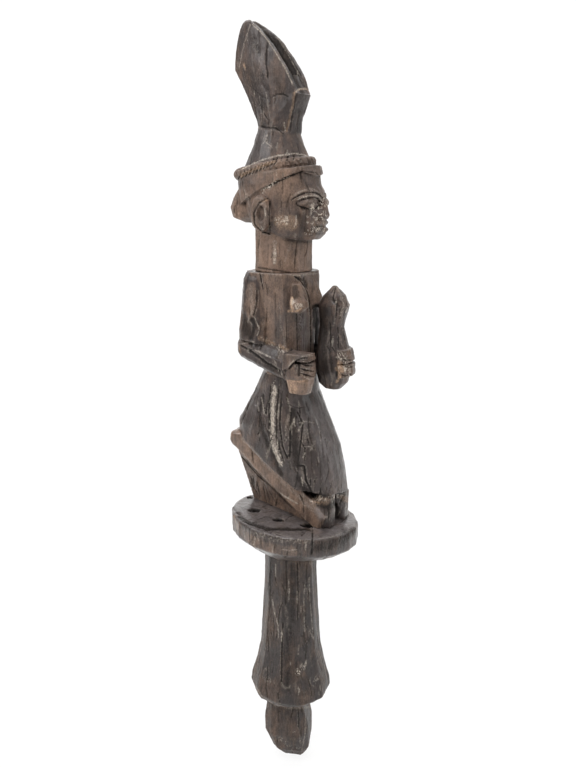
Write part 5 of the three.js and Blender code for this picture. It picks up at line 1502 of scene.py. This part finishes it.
class WAND_OT_head(bpy.types.Operator):
    """Carve the neck, head, headdress and crest"""

    bl_idname = "wand.carve_head"
    bl_label = "Carve Head and Crest"

    def execute(self, context):
        finish = wood_material("head_wood", shine=-0.04, streaks=0.4)
        nodes = [
            "neck", "head", "right_ear", "left_ear", "nape_bun", "hair_roll", "headdress_band",
            "headdress_cone", "crest", "crest_front_panel",
        ]
        voxel = context.scene.wand_carving.head_voxel
        carve("head_and_crest", nodes, voxel, finish, HEAD_MARKS, seed=57, facet=0.8, dirt_and_shade=0.7)
        return {"FINISHED"}


class WAND_OT_stage(bpy.types.Operator):
    """Set up the floor, the lamps and the photograph's camera"""

    bl_idname = "wand.set_stage"
    bl_label = "Set Stage"

    def execute(self, context):
        scene = context.scene
        stage = scene.wand_stage
        scene.view_settings.view_transform = "Standard"

        lens = bpy.data.cameras.new("photo_camera")
        lens.lens = FOCAL_PIXELS / PHOTO_HIGH * SENSOR_WIDTH
        lens.sensor_width = SENSOR_WIDTH
        lens.clip_start = 0.01
        camera = linked("photo_camera", lens)
        camera.matrix_world = photo_camera()
        scene.camera = camera

        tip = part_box("finial")[0].z
        self.floor(tip - FLOOR_GAP, stage)
        centre = Vector((0, 0, tip + LIT_HEIGHT))
        away = camera.matrix_world.translation - centre
        away.z = 0
        away.normalize()
        left = Vector((away.y, -away.x, 0))
        powers = (stage.key, stage.fill, stage.top, stage.backdrop)
        for (name, (near, aside, up, wide, high)), power in zip(LAMPS.items(), powers):
            target = centre - away * BEHIND if name == "backdrop_lamp" else centre
            offset = away * near + left * aside + Vector((0, 0, up))
            self.lamp(name, target, offset, power, wide, high)
        self.room(scene, stage)
        return {"FINISHED"}

    @staticmethod
    def lamp(name, centre, offset, power, wide, high):
        """Flat lamp beside a centre, turned to face it."""
        data = bpy.data.lights.new(name, "AREA")
        data.shape = "RECTANGLE"
        data.size, data.size_y = wide, high
        data.energy = power
        facing = offset.to_track_quat("Z", "Y").to_matrix().to_4x4()
        linked(name, data).matrix_world = Matrix.Translation(centre + offset) @ facing

    @staticmethod
    def floor(level, stage):
        """Pale floor that curves up into a backdrop behind the wand."""
        forward = -photo_camera().translation.to_2d().normalized()
        side = Vector((-forward.y, forward.x))
        profile = [(FLOOR_START, 0.0), (CURVE_START, 0.0)]
        for degrees in range(10, 91, 10):
            turn = math.radians(degrees)
            run = CURVE_START + CURVE_RADIUS * math.sin(turn)
            profile.append((run, CURVE_RADIUS - CURVE_RADIUS * math.cos(turn)))
        profile.append((CURVE_START + CURVE_RADIUS, BACKDROP_TOP))
        work = bmesh.new()
        rows = []
        for across in (-FLOOR_HALF_WIDE, FLOOR_HALF_WIDE):
            places = [(*(forward * run + side * across), level + rise) for run, rise in profile]
            rows.append([work.verts.new(place) for place in places])
        for i in range(len(profile) - 1):
            work.faces.new((rows[0][i], rows[0][i + 1], rows[1][i + 1], rows[1][i]))
        bmesh.ops.recalc_face_normals(work, faces=work.faces)
        mesh = bpy.data.meshes.new("paper_floor")
        work.to_mesh(mesh)
        work.free()
        mesh.shade_smooth()
        material = bpy.data.materials.new("pale_paper")
        material.use_nodes = True
        tree = material.node_tree
        tree.nodes.clear()
        matt = put(tree, "ShaderNodeBsdfDiffuse", {"Color": (*stage.floor, 1)}).outputs[0]
        white = put(tree, "ShaderNodeEmission", {"Color": (1, 1, 1, 1), "Strength": 1.0}).outputs[0]
        path = put(tree, "ShaderNodeLightPath").outputs
        share = calc(tree, "MULTIPLY", path["Is Camera Ray"], stage.white)
        mixed = put(tree, "ShaderNodeMixShader", {0: share, 1: matt, 2: white}).outputs[0]
        put(tree, "ShaderNodeOutputMaterial", {"Surface": mixed})
        mesh.materials.append(material)
        paper = linked("paper_floor", mesh)

    @staticmethod
    def room(scene, stage):
        """White room: plain light from all round, seen as white."""
        world = bpy.data.worlds.new("white_room")
        world.use_nodes = True
        tree = world.node_tree
        background = tree.nodes["Background"]
        path = put(tree, "ShaderNodeLightPath").outputs
        strength = calc(tree, "MULTIPLY_ADD", path["Is Camera Ray"], 1.0 - stage.ambient, stage.ambient)
        background.inputs["Color"].default_value = (1, 1, 1, 1)
        tree.links.new(strength, background.inputs["Strength"])
        scene.world = world


class WAND_PT_panel(bpy.types.Panel):
    """Wand tools in the sidebar"""

    bl_idname = "WAND_PT_panel"
    bl_label = "Dance Wand"
    bl_space_type = "VIEW_3D"
    bl_region_type = "UI"
    bl_category = "Wand"

    def draw(self, context):
        layout = self.layout
        for operator in OPERATORS:
            layout.operator(operator.bl_idname)
        for group in (context.scene.wand_carving, context.scene.wand_wood, context.scene.wand_stage):
            box = layout.box()
            for name in group.__annotations__:
                box.prop(group, name)


OPERATORS = (WAND_OT_handle, WAND_OT_plate, WAND_OT_legs, WAND_OT_torso, WAND_OT_head, WAND_OT_stage)
CLASSES = (WandCarving, WandWood, WandStage, *OPERATORS, WAND_PT_panel)


def register():
    """Adds the classes and the scene's settings."""
    for cls in CLASSES:
        bpy.utils.register_class(cls)
    bpy.types.Scene.wand_carving = PointerProperty(type=WandCarving)
    bpy.types.Scene.wand_wood = PointerProperty(type=WandWood)
    bpy.types.Scene.wand_stage = PointerProperty(type=WandStage)


def unregister():
    """Takes the classes and the scene's settings away again."""
    del bpy.types.Scene.wand_stage
    del bpy.types.Scene.wand_wood
    del bpy.types.Scene.wand_carving
    for cls in reversed(CLASSES):
        bpy.utils.unregister_class(cls)


def main():
    """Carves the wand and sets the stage."""
    register()
    bpy.ops.wand.carve_handle()
    bpy.ops.wand.carve_plate()
    bpy.ops.wand.carve_legs()
    bpy.ops.wand.carve_torso()
    bpy.ops.wand.carve_head()
    bpy.ops.wand.set_stage()


if __name__ == "__main__":
    main()
